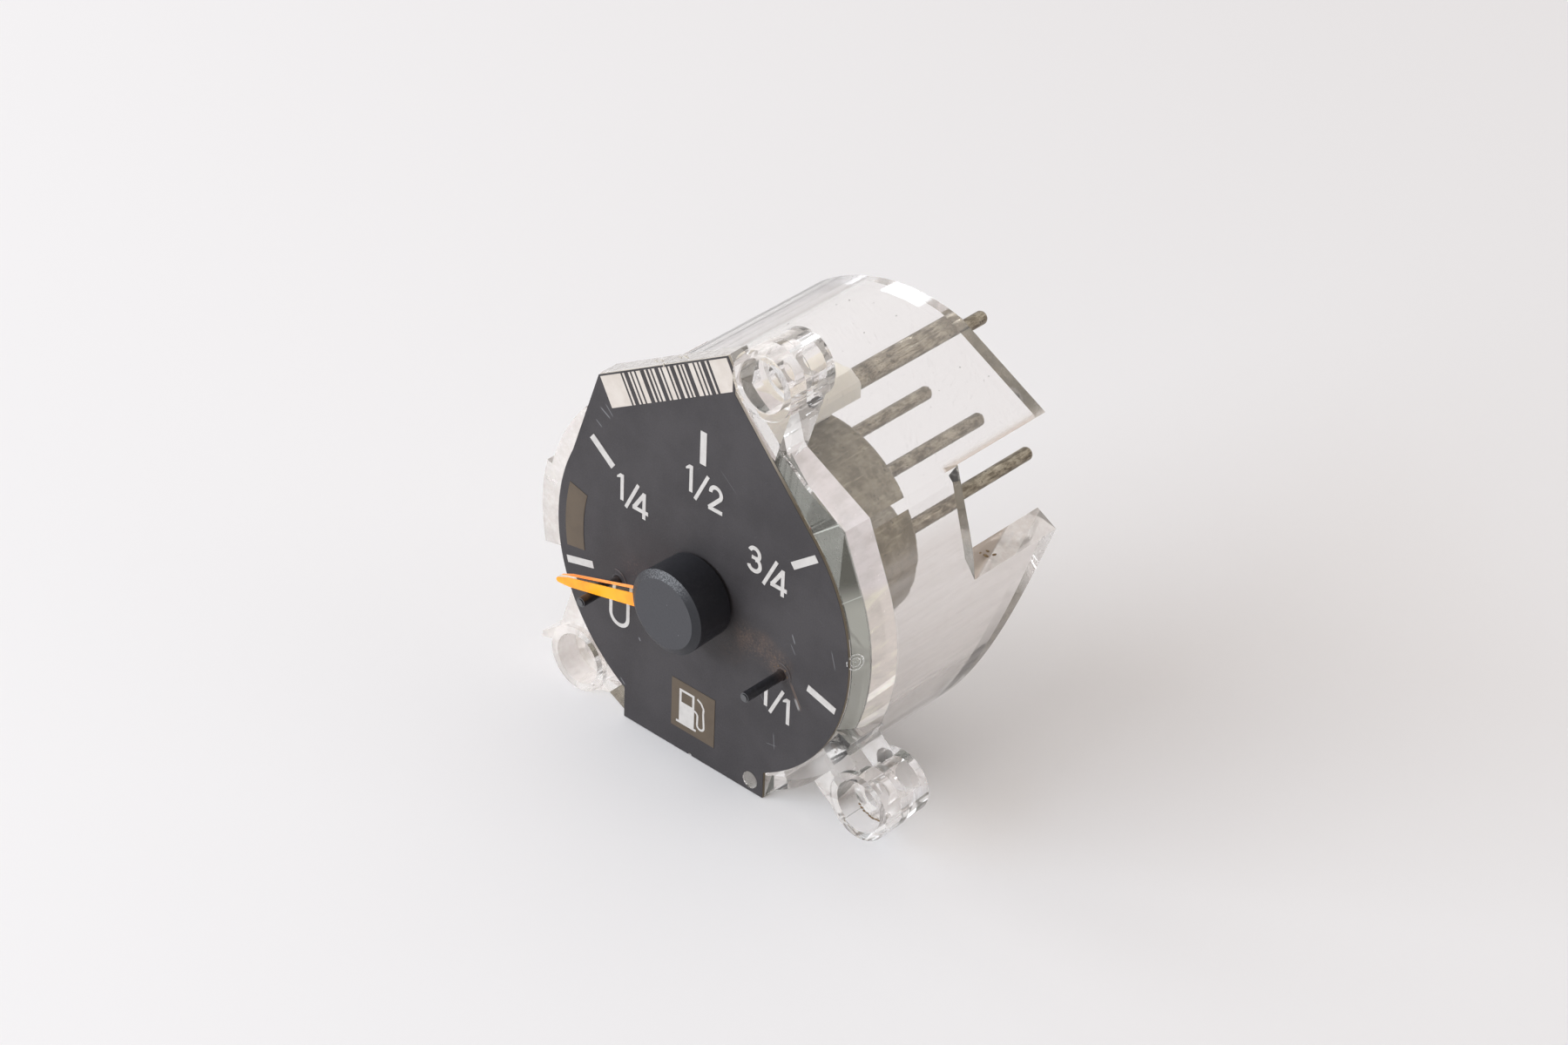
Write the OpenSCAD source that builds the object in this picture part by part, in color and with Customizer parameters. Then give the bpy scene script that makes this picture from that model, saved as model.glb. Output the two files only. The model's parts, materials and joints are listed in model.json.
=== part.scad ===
// Fuel gauge from a dashboard instrument cluster: a clear acrylic light guide carries a printed dial,
// a turning pointer between two stop pins, and a crossed coil movement with four long contact pins.
// Millimetres. The pointer's axis runs along Y, the dial faces -Y, and Z is up.
// The origin is under the middle of the part, on the surface it stands on.

/* [Dial] */
// Radius of the dial's round edge
dial_r = 27.5; // [27:0.1:28]
// Thickness of the dial's cream carrier board
dial_board_t = 0.4; // [0.3:0.05:0.5]
// Thickness of the dial's charcoal face
dial_face_t = 0.1; // [0.08:0.01:0.15]
// Thickness of everything printed on the face
print_t = 0.06; // [0.04:0.01:0.08]
// Left side of the dial's foot from the axis
foot_left = 14; // [13:0.1:14.5]
// Right side of the dial's foot from the axis
foot_right = 13; // [12.9:0.1:13.5]
// How far the dial's foot reaches below the round edge
foot_out = 1.2; // [0.9:0.1:1.5]
// Slope of the code strip at the top
strip_tilt = 30; // [29:0.5:31]
// Width of the code strip across its slope
strip_w = 4.75; // [4:0.05:5]
// Length of the code strip along its slope
strip_l = 27.4; // [27:0.1:27.6]

/* [Scale] */
// Angle from one scale mark to the next
mark_step = 52.5; // [50:0.5:54]
// Distance from the scale marks to the dial's round edge
mark_edge = 1; // [0.7:0.1:1.4]
// Length of a scale mark
mark_l = 5.3; // [4.9:0.1:5.6]
// Width of a scale mark
mark_w = 1.15; // [0.9:0.05:1.3]
// Height of the fraction digits
digit_h = 4.3; // [3.8:0.1:4.6]
// Width of the strokes in the numbers
stroke_w = 0.62; // [0.45:0.01:0.7]
// Side of the brown square behind the pump symbol
symbol_side = 8.3; // [8:0.1:8.6]

/* [Pointer] */
// How far the pointer's tip reaches over the scale marks
pointer_over = 1.7; // [0.6:0.1:2.4]
// Width of the pointer at the hub
pointer_w = 2.2; // [1.4:0.05:2.4]
// Width of the pointer before its point
pointer_tip_w = 1.35; // [0.6:0.05:1.5]
// Thickness of the clear pointer bar
pointer_t = 1.9; // [1.3:0.05:2]
// Thickness of the clear pointer bar at its tip
pointer_tip_t = 0.9; // [0.3:0.05:1.2]
// Thickness of the orange foil on the pointer
foil_t = 0.12; // [0.08:0.01:0.15]
// Radius of the black hub cap
cap_r = 6.5; // [6:0.1:6.6]
// Height of the hub cap
cap_h = 6.7; // [6:0.1:7]
// Gap between the hub cap and the dial
cap_gap = 0.5; // [0.4:0.1:0.8]
// Depth of the chamfer on the hub cap's front edge
cap_chamfer = 0.7; // [0.4:0.1:0.9]
// Radius of the steel spindle
spindle_r = 0.6; // [0.5:0.05:0.7]

/* [Stops] */
// Distance from the scale marks inwards to the ring of the two stop pins
stop_in = 4.5; // [4.2:0.1:4.8]
// Radius of a stop pin
stop_r = 0.75; // [0.7:0.05:0.8]
// Radius of the stop pins' holes in the dial
stop_hole_r = 1.15; // [1:0.05:1.3]
// How far a stop pin stands out of the dial
stop_out = 7.6; // [7.2:0.1:8]
// Gap left between a stop pin and the pointer at the scale's ends
stop_gap = 0.05; // [0.03:0.01:0.08]

/* [Light guide] */
// How far the body stands out beyond the dial's round edge
body_out = 2.5; // [2.3:0.1:2.9]
// Thickness of the body's walls
wall = 3; // [2.6:0.1:3.2]
// Depth of the bevel behind the dial
bevel_t = 2.7; // [2.4:0.1:3]
// Thickness of the plate behind the bevel
plate_t = 4; // [3.6:0.1:4.4]
// Depth at which the top wall ends behind the dial's face
top_depth = 44; // [42:0.5:46]
// Depth at which the side wall ends behind the dial's face
side_depth = 25.2; // [24.6:0.2:26]
// Depth of the fin's tip behind the dial's face
fin_depth = 41; // [39:0.5:42]
// How far the left flange stands out beyond the body
flange_out = 1.2; // [0.8:0.1:1.6]
// Radius of the cut that shapes the fin's rear edge
fin_cut_r = 42; // [40:0.5:44]

/* [Screw bosses] */
// Place of the top boss to the right of the axis
top_boss_x = 10.3; // [10.2:0.1:10.6]
// Height of the top boss above the body's round edge
top_boss_rise = 8.6; // [8.4:0.1:8.9]
// How far the right boss's middle lies outside the body's round edge, sideways
right_boss_out = 0.8; // [0.6:0.1:1]
// How far the right boss lies below the axis
right_boss_drop = 20.2; // [20:0.1:20.4]
// How far the left boss's middle lies inside the body's square outline
left_boss_in = 6.8; // [6.7:0.1:6.9]
// Radius of a screw boss
boss_r = 5.2; // [5:0.1:5.3]
// Length of a screw boss
boss_l = 9; // [8.6:0.1:9.4]
// Radius of the cup that takes the screw's head
cup_r = 4; // [3.8:0.05:4.1]
// Depth of that cup
cup_depth = 3.7; // [3.4:0.1:4]
// Radius of the screw hole
screw_hole_r = 2.1; // [2:0.05:2.3]

/* [Movement] */
// Outer radius of the shield can
can_r = 16.4; // [16:0.1:16.8]
// Depth at which the shield can ends behind the dial's face
can_depth = 26; // [25.8:0.1:26.4]
// Sheet thickness of the shield can
can_t = 0.5; // [0.4:0.05:0.6]
// Thickness of the terminal carrier's flange
carrier_t = 1.5; // [1.4:0.1:1.7]
// Radius of the rotor magnet
magnet_r = 5.4; // [5:0.1:5.6]
// Length of the rotor magnet
magnet_l = 3.8; // [3.4:0.1:4]
// Half width of the bobbin block
bobbin_half = 8; // [7.8:0.1:8.2]
// Thickness of a coil's winding
coil_t = 1; // [0.8:0.05:1]
// Width of one half of a coil
coil_w = 3.4; // [3:0.1:3.6]

/* [Contact pins] */
// Radius of a contact pin
pin_r = 1.05; // [1:0.05:1.1]
// Distance between the three pins in the lower row
pin_pitch = 10; // [9.6:0.1:10.2]
// Depth of the pin tips behind the dial's face
pin_depth = 54.5; // [53:0.5:56]

/* [Hidden] */
$fn = 96;

// Clearances between pieces that don't move on each other, and between the spindle and its bearings
seat = 0.05;
run = 0.04;
eps = 0.01;

// Depths of the layers, counted backwards from the dial's face
board_y = dial_face_t;
guide_y = dial_face_t + dial_board_t;
plate_y = guide_y + bevel_t;
plate_rear = plate_y + plate_t;
flange_y = plate_rear + seat;
can_y = flange_y + carrier_t + seat;
outer_coil_y = can_y + 0.25;
inner_coil_y = outer_coil_y + coil_t;
bobbin_y = inner_coil_y + coil_t;
can_floor_y = can_depth - can_t;
terminal_t = 2.8;
pin_floor = 0.4;
terminal_y = can_floor_y - seat - terminal_t;
bobbin_end = terminal_y - 0.2 - 2 * coil_t;
bobbin_mid = (bobbin_y + bobbin_end) / 2;

// Radii and heights that follow the dial
foot_drop = dial_r + foot_out;
body_r = dial_r + body_out;
flange_r = body_r + flange_out;
mark_r1 = dial_r - mark_edge;
mark_r0 = mark_r1 - mark_l;
pointer_l = mark_r0 + pointer_over;
stop_ring_r = mark_r0 - stop_in;
stand_gap = 0.1;
stand_h = foot_drop + stand_gap;

// The dial's corners; the straight sides run a little way into the round edge
corner_in = 7.6;
corner_drop = 0.9;
strip_corner = [corner_in - dial_r, dial_r - corner_drop];
strip_end = strip_corner + strip_l * [cos(strip_tilt), sin(strip_tilt)];
end_drop = 2.3;
clip_x = 5.3;
clip_rise = 7.4;
clip_z = dial_r + clip_rise;
left_bite = 0.175;
left_low = polar(dial_r - left_bite, 157.6);
slope_bite = 0.05;
slope_low = polar(dial_r - slope_bite, 42.5);

// The flats of the body's outline, and the bosses
roof_tilt = 62.7;
roof_flat = 0.7;
roof_dist = body_r - roof_flat;
bevel_inset = 1.2;
cheek_tilt = 23;
panel_edge = 41.3;
boss_at = [[top_boss_x, body_r + top_boss_rise], [body_r + right_boss_out, -right_boss_drop],
    [left_boss_in - body_r, left_boss_in - body_r]];
boss_front = -0.3;

// Overall box, from which the origin is placed
x_low = -flange_r;
x_high = boss_at[1][0] + boss_r;
y_low = -stop_out;
y_high = pin_depth;
origin = [(x_low + x_high) / 2, (y_low + y_high) / 2, -stand_h];

// Pointer and stops: the pointer lies on a stop pin at each end of the scale
sweep = 4 * mark_step;
zero_angle = 90 + sweep / 2;
cap_front = -cap_gap - cap_h;
cap_lid = 1.45;
cap_draft = 0.2;
cap_chamfer_w = 1.6 * cap_chamfer;
foil_y = cap_front + cap_lid;
blade_y = foil_y + foil_t;
root_r = 4.4;
blade_half_at_stop = pointer_half(stop_ring_r);
stop_offset = asin((stop_r + blade_half_at_stop + stop_gap) / stop_ring_r);
peg_x = 10.6;
peg_rise = 1.9;
peg_at = [peg_x, peg_rise - foot_drop];
peg_r = 1.35;
bush_r = 1.2;
nose_r = 4;
nose_room = 0.3;
magnet_room = 0.6;

// Half the pointer's width at a distance from the axis
function pointer_half(r) =
    (pointer_w + (pointer_tip_w - pointer_w) * (r - root_r) / (pointer_l - root_r)) / 2;

// A point at a radius and angle
function polar(r, a) = r * [cos(a), sin(a)];

// Where two lines meet, each given by the angle of its normal and its distance from the axis
function meet(a, d, b, e) =
    [d * sin(b) - e * sin(a), e * cos(a) - d * cos(b)] / sin(b - a);

// Moves a piece from the pointer's axis to the part's origin
module gauge() {
    translate(-origin)
        children();
}

// Stands a flat shape up facing -Y, from depth y0 to depth y1
module slab(y0, y1) {
    translate([0, y1, 0])
        rotate([90, 0, 0])
            linear_extrude(y1 - y0)
                children();
}

// A round bar along Y at x, z
module bar(x, z, r, y0, y1) {
    translate([x, y0, z])
        rotate([-90, 0, 0])
            cylinder(r = r, h = y1 - y0);
}

// A square bar along Y at a point
module square_bar(p, w, y0, y1) {
    translate([p[0] - w / 2, y0, p[1] - w / 2])
        cube([w, y1 - y0, w]);
}

// The angular slice between two angles
module wedge(a0, a1) {
    far = 90;
    mid = (a0 + a1) / 2;
    polygon([[0, 0], polar(far, a0), polar(far, mid), polar(far, a1)]);
}

// The half plane inside a line, given by the angle of its normal and its distance
module inside(a, d) {
    far = 90;
    rotate(a)
        translate([d - 2 * far, -far])
            square([2 * far, 2 * far]);
}

// A straight stroke of a printed figure
module stroke(p, q, w) {
    d = q - p;
    n = w / 2 * [-d[1], d[0]] / norm(d);
    polygon([p + n, p - n, q - n, q + n]);
}

// A curved stroke of a printed figure
module arc_stroke(c, r, w, a0, a1) {
    translate(c)
        intersection() {
            difference() {
                circle(r = r + w / 2, $fn = 48);
                circle(r = r - w / 2, $fn = 48);
            }
            wedge(a0, a1);
        }
}

// Outline of the dial: round, with a sloped code strip above and a square foot
module dial_round(grow) {
    circle(r = dial_r + grow);
}

module dial_top(grow) {
    polygon([left_low + [-grow, 0], strip_corner + [-grow, grow], strip_end + [0, grow],
        [clip_x + grow, strip_end[1] - end_drop], [clip_x + grow, clip_z],
        slope_low + [grow, grow], [0, 0]]);
}

module dial_foot(grow) {
    translate([-foot_left - grow, -foot_drop - grow])
        square([foot_left + foot_right + 2 * grow, foot_drop / 2]);
}

module dial_solid(y0, y1, grow) {
    slab(y0, y1)
        dial_round(grow);
    slab(y0, y1)
        dial_top(grow);
    slab(y0, y1)
        dial_foot(grow);
}

// Outline of the body: round, with a flat roof panel that meets a flat cheek at a corner
module body_outline(inset) {
    r = body_r - inset;
    corner = meet(cheek_tilt, r, roof_tilt, roof_dist - inset);
    intersection() {
        union() {
            circle(r = r);
            polygon([[0, 0], polar(r, cheek_tilt), corner, polar(r, 75)]);
        }
        inside(roof_tilt, roof_dist - inset);
    }
}

// The body's wall between two angles
module wall_ring(a0, a1) {
    intersection() {
        difference() {
            body_outline(0);
            body_outline(wall);
        }
        wedge(a0, a1);
    }
}

// The bevel that widens from the dial's edge, and the drafted plate behind it
module bevel() {
    hull() {
        slab(guide_y, guide_y + eps)
            intersection() {
                union() {
                    dial_round(0);
                    dial_top(0);
                    dial_foot(0);
                }
                inside(90, clip_z);
            }
        slab(plate_y - eps, plate_y)
            body_outline(bevel_inset);
    }
}

module plate() {
    hull() {
        slab(plate_y - eps, plate_y)
            body_outline(bevel_inset);
        slab(plate_rear - eps, plate_rear)
            body_outline(0);
    }
}

// The side wall with its notch, and the fin whose rear edge is a round cut
module side_wall() {
    notch_z = 5.4;
    notch_lean = 2;
    slope = 1.9 / (wall + 0.5);
    tip_lean = 50.7;
    corner_z = body_r * sin(panel_edge);
    cut_at = [fin_depth, notch_z] + fin_cut_r * [cos(tip_lean), -sin(tip_lean)];
    difference() {
        slab(plate_rear - eps, fin_depth)
            wall_ring(-40.8, panel_edge);
        translate([0, cut_at[0], cut_at[1]])
            rotate([0, 90, 0])
                cylinder(r = fin_cut_r, h = 2 * body_r);
        intersection() {
            slab(plate_rear, fin_depth + 1)
                polygon([[body_r + 1, notch_z - 1.5 * slope], [0, notch_z + (body_r - 0.5) * slope],
                    [0, 2 * body_r], [body_r + 1, 2 * body_r]]);
            rotate([90, 0, 90])
                linear_extrude(2 * body_r)
                    polygon([[side_depth - notch_lean, notch_z - 2], [side_depth, corner_z + 1],
                        [fin_depth + 2, corner_z + 1], [fin_depth + 2, notch_z - 2]]);
        }
    }
}

// Corners of the webs and of the left tab, counted from the middle of their boss
top_web = [[-5, 1.9], [-7, -4.6], [1.7, -12.6], [5.2, -0.6]];
right_web = [[-5.6, 9], [0.7, 4.4], [-3.2, -4.6], [-8, -1.4], [-10.8, 1.2], [-10.8, 6.2]];
left_web = [[-1.8, 11.2], [-5, 1.2], [0.6, -5.1], [5.8, -3.3], [9.2, -5], [11.2, 3.2], [7.2, 9.2]];
left_tab = [[-7.9, -0.4], [-7.9, 0.5], [-3.8, 3.7], [-2.8, 1.2]];

// The webs between the bosses and the plate, and the bosses, which step in halfway
module boss_bodies() {
    step_in = 0.2;
    step_y = boss_front + boss_l / 2;
    for (p = boss_at) {
        bar(p[0], p[1], boss_r, boss_front, step_y);
        bar(p[0], p[1], boss_r - step_in, step_y - eps, boss_front + boss_l);
    }
    slab(guide_y, plate_rear) {
        translate(boss_at[0])
            polygon(top_web);
        translate(boss_at[1])
            polygon(right_web);
        translate(boss_at[2])
            polygon(left_web);
    }
    slab(guide_y, plate_rear - 1)
        translate(boss_at[2])
            polygon(left_tab);
}

// The left flange, which steps in near its upper end
flange_step = 1;

module flange_outline() {
    difference() {
        union() {
            intersection() {
                circle(r = flange_r);
                wedge(166, 192);
            }
            intersection() {
                circle(r = flange_r - flange_step);
                wedge(139, 167);
            }
        }
        circle(r = body_r - wall);
    }
}

// The foot block, the lip at the lower right, the lower wall's extra depth, and the rim behind the dial
foot_h = 10;
lip_out = 0.4;
lip_w = 6;
lower_more = 1;
bevel_rest = 0.5;

// Everything of the light guide, before its holes
module guide_body() {
    intersection() {
        union() {
            bevel();
            plate();
        }
        slab(0, plate_rear)
            inside(-90, stand_h);
    }
    dial_solid(guide_y, plate_y + bevel_rest, stand_gap);
    slab(guide_y, plate_rear) {
        translate([-foot_left - stand_gap, -stand_h])
            square([foot_left + foot_right + 2 * stand_gap, foot_h]);
        intersection() {
            difference() {
                circle(r = body_r + lip_out);
                circle(r = body_r - lip_w);
            }
            wedge(-62, -22);
            inside(-90, stand_h);
        }
    }
    slab(plate_rear - eps, top_depth)
        wall_ring(panel_edge - 0.1, 128);
    side_wall();
    slab(plate_rear - eps, side_depth + lower_more)
        intersection() {
            wall_ring(-118, -62);
            inside(-90, stand_h);
        }
    slab(guide_y, side_depth)
        flange_outline();
    boss_bodies();
    bar(peg_at[0], peg_at[1], peg_r - seat, -seat, guide_y + eps);
}

module light_guide() {
    color("whitesmoke", 0.4)
        gauge()
            difference() {
                guide_body();
                for (p = boss_at) {
                    bar(p[0], p[1], screw_hole_r, boss_front - 1, boss_front + boss_l + 1);
                    bar(p[0], p[1], cup_r, boss_front - 1, boss_front + cup_depth);
                }
                bar(0, 0, nose_r + nose_room, guide_y - 1, plate_rear + 1);
                for (a = [0, 1])
                    stop_bar(a, stop_r + run / 2, guide_y - 1, plate_y + 1);
                for (p = screw_at)
                    bar(p[0], p[1], screw_r, plate_rear - screw_bite, plate_rear + 1);
            }
}

// Room round the spindle, and the nick in the dial's lower edge
spindle_room = 1;
nick_x = 1;
nick_r = 0.35;

// The dial, as a board and as a face
module dial_layer(y0, y1) {
    difference() {
        dial_solid(y0, y1, 0);
        bar(0, 0, spindle_r + spindle_room, y0 - 1, y1 + 1);
        bar(peg_at[0], peg_at[1], peg_r, y0 - 1, y1 + 1);
        for (s = [0, 1])
            stop_bar(s, stop_hole_r, y0 - 1, y1 + 1);
        bar(-nick_x, -foot_drop, nick_r, y0 - 1, y1 + 1);
        bar(boss_at[0][0], boss_at[0][1], boss_r + seat, y0 - 1, y1 + 1);
    }
}

module dial_board() {
    color("cornsilk")
        gauge()
            dial_layer(board_y, guide_y);
}

module dial_face() {
    color("dimgray")
        gauge()
            dial_layer(0, board_y);
}

// A printed layer on the dial's face
module ink() {
    gauge()
        slab(-print_t, 0)
            children();
}

module scale_marks() {
    color("gainsboro")
        ink()
            for (k = [-2:2])
                rotate(90 + k * mark_step)
                    translate([mark_r0, -mark_w / 2])
                        square([mark_r1 - mark_r0, mark_w]);
}

// Lengths in the figures are counted in 43rds of a digit's height
v = digit_h / 43;

// Figure one, with its foot at the origin and a short flag
module figure_one() {
    translate([-stroke_w / 2, 0])
        square([stroke_w, digit_h]);
    polygon(v * [[-10, 37], [-10, 34], [0, 38], [0, 43], [-4, 43]]);
}

module figure_two() {
    r = 9.8 * v;
    top = [13.5 * v, digit_h - r - stroke_w / 2];
    arc_stroke(top, r, stroke_w, -38, 80);
    arc_stroke(top, r, stroke_w, 70, 185);
    stroke([v, stroke_w / 2], top + polar(r, -38), stroke_w);
    square([26 * v, stroke_w]);
}

module figure_three() {
    r_top = 9.2 * v;
    r_low = 10.8 * v;
    low = [12 * v, r_low + stroke_w / 2];
    top = [12 * v, digit_h - r_top - stroke_w / 2];
    arc_stroke(low, r_low, stroke_w, -160, -40);
    arc_stroke(low, r_low, stroke_w, -50, 80);
    arc_stroke(top, r_top, stroke_w, -80, 40);
    arc_stroke(top, r_top, stroke_w, 30, 160);
    translate([7 * v, low[1] + r_low - stroke_w / 2])
        square([7 * v, stroke_w * 0.9]);
}

module figure_four() {
    stem_x = 22 * v;
    cross_z = 8.5 * v;
    translate([stem_x - stroke_w / 2, 0])
        square([stroke_w, digit_h]);
    translate([0, cross_z])
        square([30 * v, stroke_w]);
    stroke([2.5 * v, cross_z + stroke_w / 2], [stem_x, digit_h - 2 * v], stroke_w);
}

// Figure nought, taller than the fractions, centred on the origin
module figure_nought() {
    r = 16.8 * v;
    half = 14 * v;
    arc_stroke([0, half], r, stroke_w, -1, 91);
    arc_stroke([0, half], r, stroke_w, 89, 181);
    arc_stroke([0, -half], r, stroke_w, 179, 271);
    arc_stroke([0, -half], r, stroke_w, 269, 361);
    for (s = [-1, 1])
        translate([s * r - stroke_w / 2, -half])
            square([stroke_w, 2 * half]);
}

module slash() {
    stroke([0, 0], v * [23.5, 47.5], stroke_w * 0.9);
}

// Places of the figures, as parts of the radius inside the scale marks
nought_at = mark_r0 * [-0.717, -0.4764];
quarter_at = mark_r0 * [-0.7099, 0.3868];
half_at = mark_r0 * [-0.0991, 0.7453];
three_at = mark_r0 * [0.4127, 0.3962];
full_at = mark_r0 * [0.6132, -0.5896];

module scale_numbers() {
    color("gainsboro")
        ink() {
            translate(nought_at)
                figure_nought();
            translate(quarter_at)
                figure_one();
            translate(quarter_at + v * [7.5, -8])
                slash();
            translate(quarter_at + v * [20.5, -12])
                figure_four();
            translate(half_at)
                figure_one();
            translate(half_at + v * [8, -8])
                slash();
            translate(half_at + v * [33, -11.5])
                figure_two();
            translate(three_at)
                figure_three();
            translate(three_at + v * [29.5, -10])
                slash();
            translate(three_at + v * [42.5, -14])
                figure_four();
            translate(full_at)
                figure_one();
            translate(full_at + v * [8, -7])
                slash();
            translate(full_at + v * [41.5, -11])
                figure_one();
        }
}

window_edge = 1.5;
window_w = 3.5;

module reserve_window() {
    color("rosybrown")
        ink()
            intersection() {
                difference() {
                    circle(r = dial_r - window_edge);
                    circle(r = dial_r - window_edge - window_w);
                }
                wedge(165.5, 189.8);
            }
}

// Middle of the brown square, and the symbol's unit: an 83rd of the square's side
symbol_left = 0.55;
symbol_edge = 6.65;
symbol_at = [-symbol_left, symbol_edge - dial_r];
u = symbol_side / 83;

module symbol_window() {
    color("rosybrown")
        ink()
            translate(symbol_at)
                difference() {
                    square(symbol_side, center = true);
                    pump_shape();
                }
}

// The pump pictogram round the square's middle: a body with a window, a foot, and a hose with its nozzle
module pump_shape() {
    w = 3.4 * u;
    body_w = 29 * u;
    body_at = u * [-26.5, -28.5];
    difference() {
        translate(body_at)
            square([body_w, 57 * u]);
        translate(body_at + u * [4.2, 35])
            square([body_w - 8.4 * u, 18 * u]);
    }
    translate(body_at - u * [5.5, 3.5])
        square([body_w + 9.5 * u, 3.8 * u]);
    arc_stroke(u * [2.5, -4], 6.5 * u, w, 0, 92);
    stroke(u * [9, -3.5], u * [8.5, -17.5], w);
    arc_stroke(u * [15, -17.5], 6.5 * u, w, 179, 271);
    arc_stroke(u * [15, -17.5], 6.5 * u, w, 269, 361);
    stroke(u * [21.5, -17.5], u * [19.7, 6.5], w);
    stroke(u * [19.7, 6.5], u * [20.5, 14.5], w);
    stroke(u * [20.5, 14.5], u * [15.5, 22.5], w);
    stroke(u * [15.5, 22.5], u * [8, 26.5], w);
}

module pump_symbol() {
    color("white")
        ink()
            translate(symbol_at)
                pump_shape();
}

// The code strip lies under the sloped top edge
strip_edge = 0.25;
strip_end_gap = 0.35;

module strip_frame() {
    translate(strip_corner)
        rotate(strip_tilt)
            translate([strip_edge, -strip_edge - strip_w])
                children();
}

// Left edges and widths of the bars: a plain rhythm of thin and thick that spells nothing
bar_from = 4.4;
thin_bar = 0.26;
mid_bar = 0.5;
thick_bar = 0.85;
thin_gap = 0.32;
mid_gap = 0.45;
wide_gap = 0.8;
bar_widths = [for (k = [0:20]) k % 6 == 2 ? thick_bar : k % 4 == 1 ? mid_bar : thin_bar];
bar_gaps = [for (k = [0:20]) k % 7 == 4 ? wide_gap : k % 5 == 2 ? mid_gap : thin_gap];
function bar_x(k) = k == 0 ? bar_from : bar_x(k - 1) + bar_widths[k - 1] + bar_gaps[k - 1];

module bar_shapes() {
    strip_frame()
        for (k = [0:len(bar_widths) - 1])
            translate([bar_x(k), 0])
                square([bar_widths[k], strip_w]);
}

module code_strip() {
    color("antiquewhite")
        ink()
            difference() {
                intersection() {
                    strip_frame()
                        square([strip_l - strip_edge - strip_end_gap, strip_w]);
                    inside(0, clip_x - strip_end_gap);
                }
                bar_shapes();
            }
}

module code_bars() {
    color("darkslategray")
        ink()
            bar_shapes();
}

// The stop pins lie beyond the two ends of the scale
function stop_point(side) =
    polar(stop_ring_r, 90 + (side == 0 ? 1 : -1) * (sweep / 2 + stop_offset));

module stop_bar(side, r, y0, y1) {
    p = stop_point(side);
    bar(p[0], p[1], r, y0, y1);
}

module stop_pin(side) {
    tip = 0.2;
    color("black")
        gauge() {
            stop_bar(side, stop_r, -stop_out + tip, plate_y + 1 - seat);
            stop_bar(side, stop_r - tip, -stop_out, -stop_out + tip + eps);
        }
}

module zero_stop_pin() {
    stop_pin(0);
}

module full_stop_pin() {
    stop_pin(1);
}

// The rear foil is a strip along the pointer's upper edge at zero: where it starts above the middle line
rear_from = pointer_w * 0.26;
rear_from_tip = pointer_tip_w * 0.1;

// Outline of the pointer from its root disc to its point and rounded tip, at the zero mark
module pointer_outline(from_r) {
    point_r = pointer_l - 2.4;
    tip_half = pointer_tip_w * 0.3;
    tip_r = pointer_l - tip_half;
    rotate(zero_angle) {
        polygon([[from_r, -pointer_half(from_r)], [point_r, -pointer_half(point_r)],
            [tip_r, -tip_half], [tip_r, tip_half],
            [point_r, pointer_half(point_r)], [from_r, pointer_half(from_r)]]);
        translate([tip_r, 0])
            circle(r = tip_half, $fn = 32);
    }
}

// A line in the pointer's side view that starts at depth y and slopes forward to the tip, from there inwards
slope_from = root_r + 0.6;
slope_end = pointer_l + 1;
slope_fall = (pointer_t - pointer_tip_t) * (slope_end - slope_from) / (pointer_l - slope_from);
function slope_line(y) = [[slope_end, y - slope_fall], [slope_from, y], [0, y]];

// A block with a given side view, turned along the pointer at zero
module pointer_side(outline) {
    rotate([0, -zero_angle, 0])
        translate([0, 0, -root_r])
            linear_extrude(2 * root_r)
                polygon(outline);
}

module pointer_blade() {
    rear = blade_y + pointer_t;
    color("gold", 0.5)
        gauge()
            difference() {
                slab(blade_y, rear) {
                    circle(r = root_r);
                    pointer_outline(root_r - 1);
                }
                bar(0, 0, bush_r + seat / 2, blade_y - 1, rear + 1);
                pointer_side([[slope_from, rear], [slope_end, rear - slope_fall],
                    [slope_end, rear + 1], [slope_from, rear + 1]]);
            }
}

module pointer_foil() {
    color("orange")
        gauge() {
            slab(foil_y, blade_y)
                pointer_outline(root_r + 0.2);
            intersection() {
                slab(blade_y, blade_y + pointer_t + 1)
                    pointer_outline(root_r + 0.2);
                pointer_side(concat([[0, blade_y + pointer_t], [slope_from, blade_y + pointer_t],
                    [slope_end, blade_y + pointer_t - slope_fall]],
                    slope_line(blade_y + pointer_t + foil_t)));
                slab(blade_y, blade_y + pointer_t + 1)
                    rotate(zero_angle)
                        polygon([[0, -pointer_w], [pointer_l + 1, -pointer_w],
                            [pointer_l + 1, -rear_from_tip], [0, -rear_from]]);
            }
        }
}

module hub_cap() {
    slot = pointer_w / 2 + 0.1;
    hollow_y = foil_y - seat;
    color("black")
        gauge()
            difference() {
                translate([0, cap_front, 0])
                    rotate([-90, 0, 0])
                        rotate_extrude()
                            polygon([[0, 0], [cap_r - cap_chamfer_w, 0], [cap_r, cap_chamfer],
                                [cap_r - cap_draft, cap_h], [0, cap_h]]);
                bar(0, 0, root_r + seat, hollow_y, 1);
                slab(hollow_y, 1)
                    rotate(zero_angle)
                        translate([0, -slot])
                            square([cap_r + 1, 2 * slot]);
            }
}

module pointer_bush() {
    flange = 0.9;
    rear = blade_y + pointer_t + foil_t + seat;
    color("goldenrod")
        gauge()
            difference() {
                union() {
                    bar(0, 0, bush_r, blade_y, rear + flange);
                    bar(0, 0, bush_r + 1, rear, rear + flange);
                }
                bar(0, 0, spindle_r + 0.01, blade_y - 1, rear + flange + 1);
            }
}

spindle_end = bobbin_end + 1;

module spindle() {
    color("silver")
        gauge()
            bar(0, 0, spindle_r, blade_y + 0.2, spindle_end);
}

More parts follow.
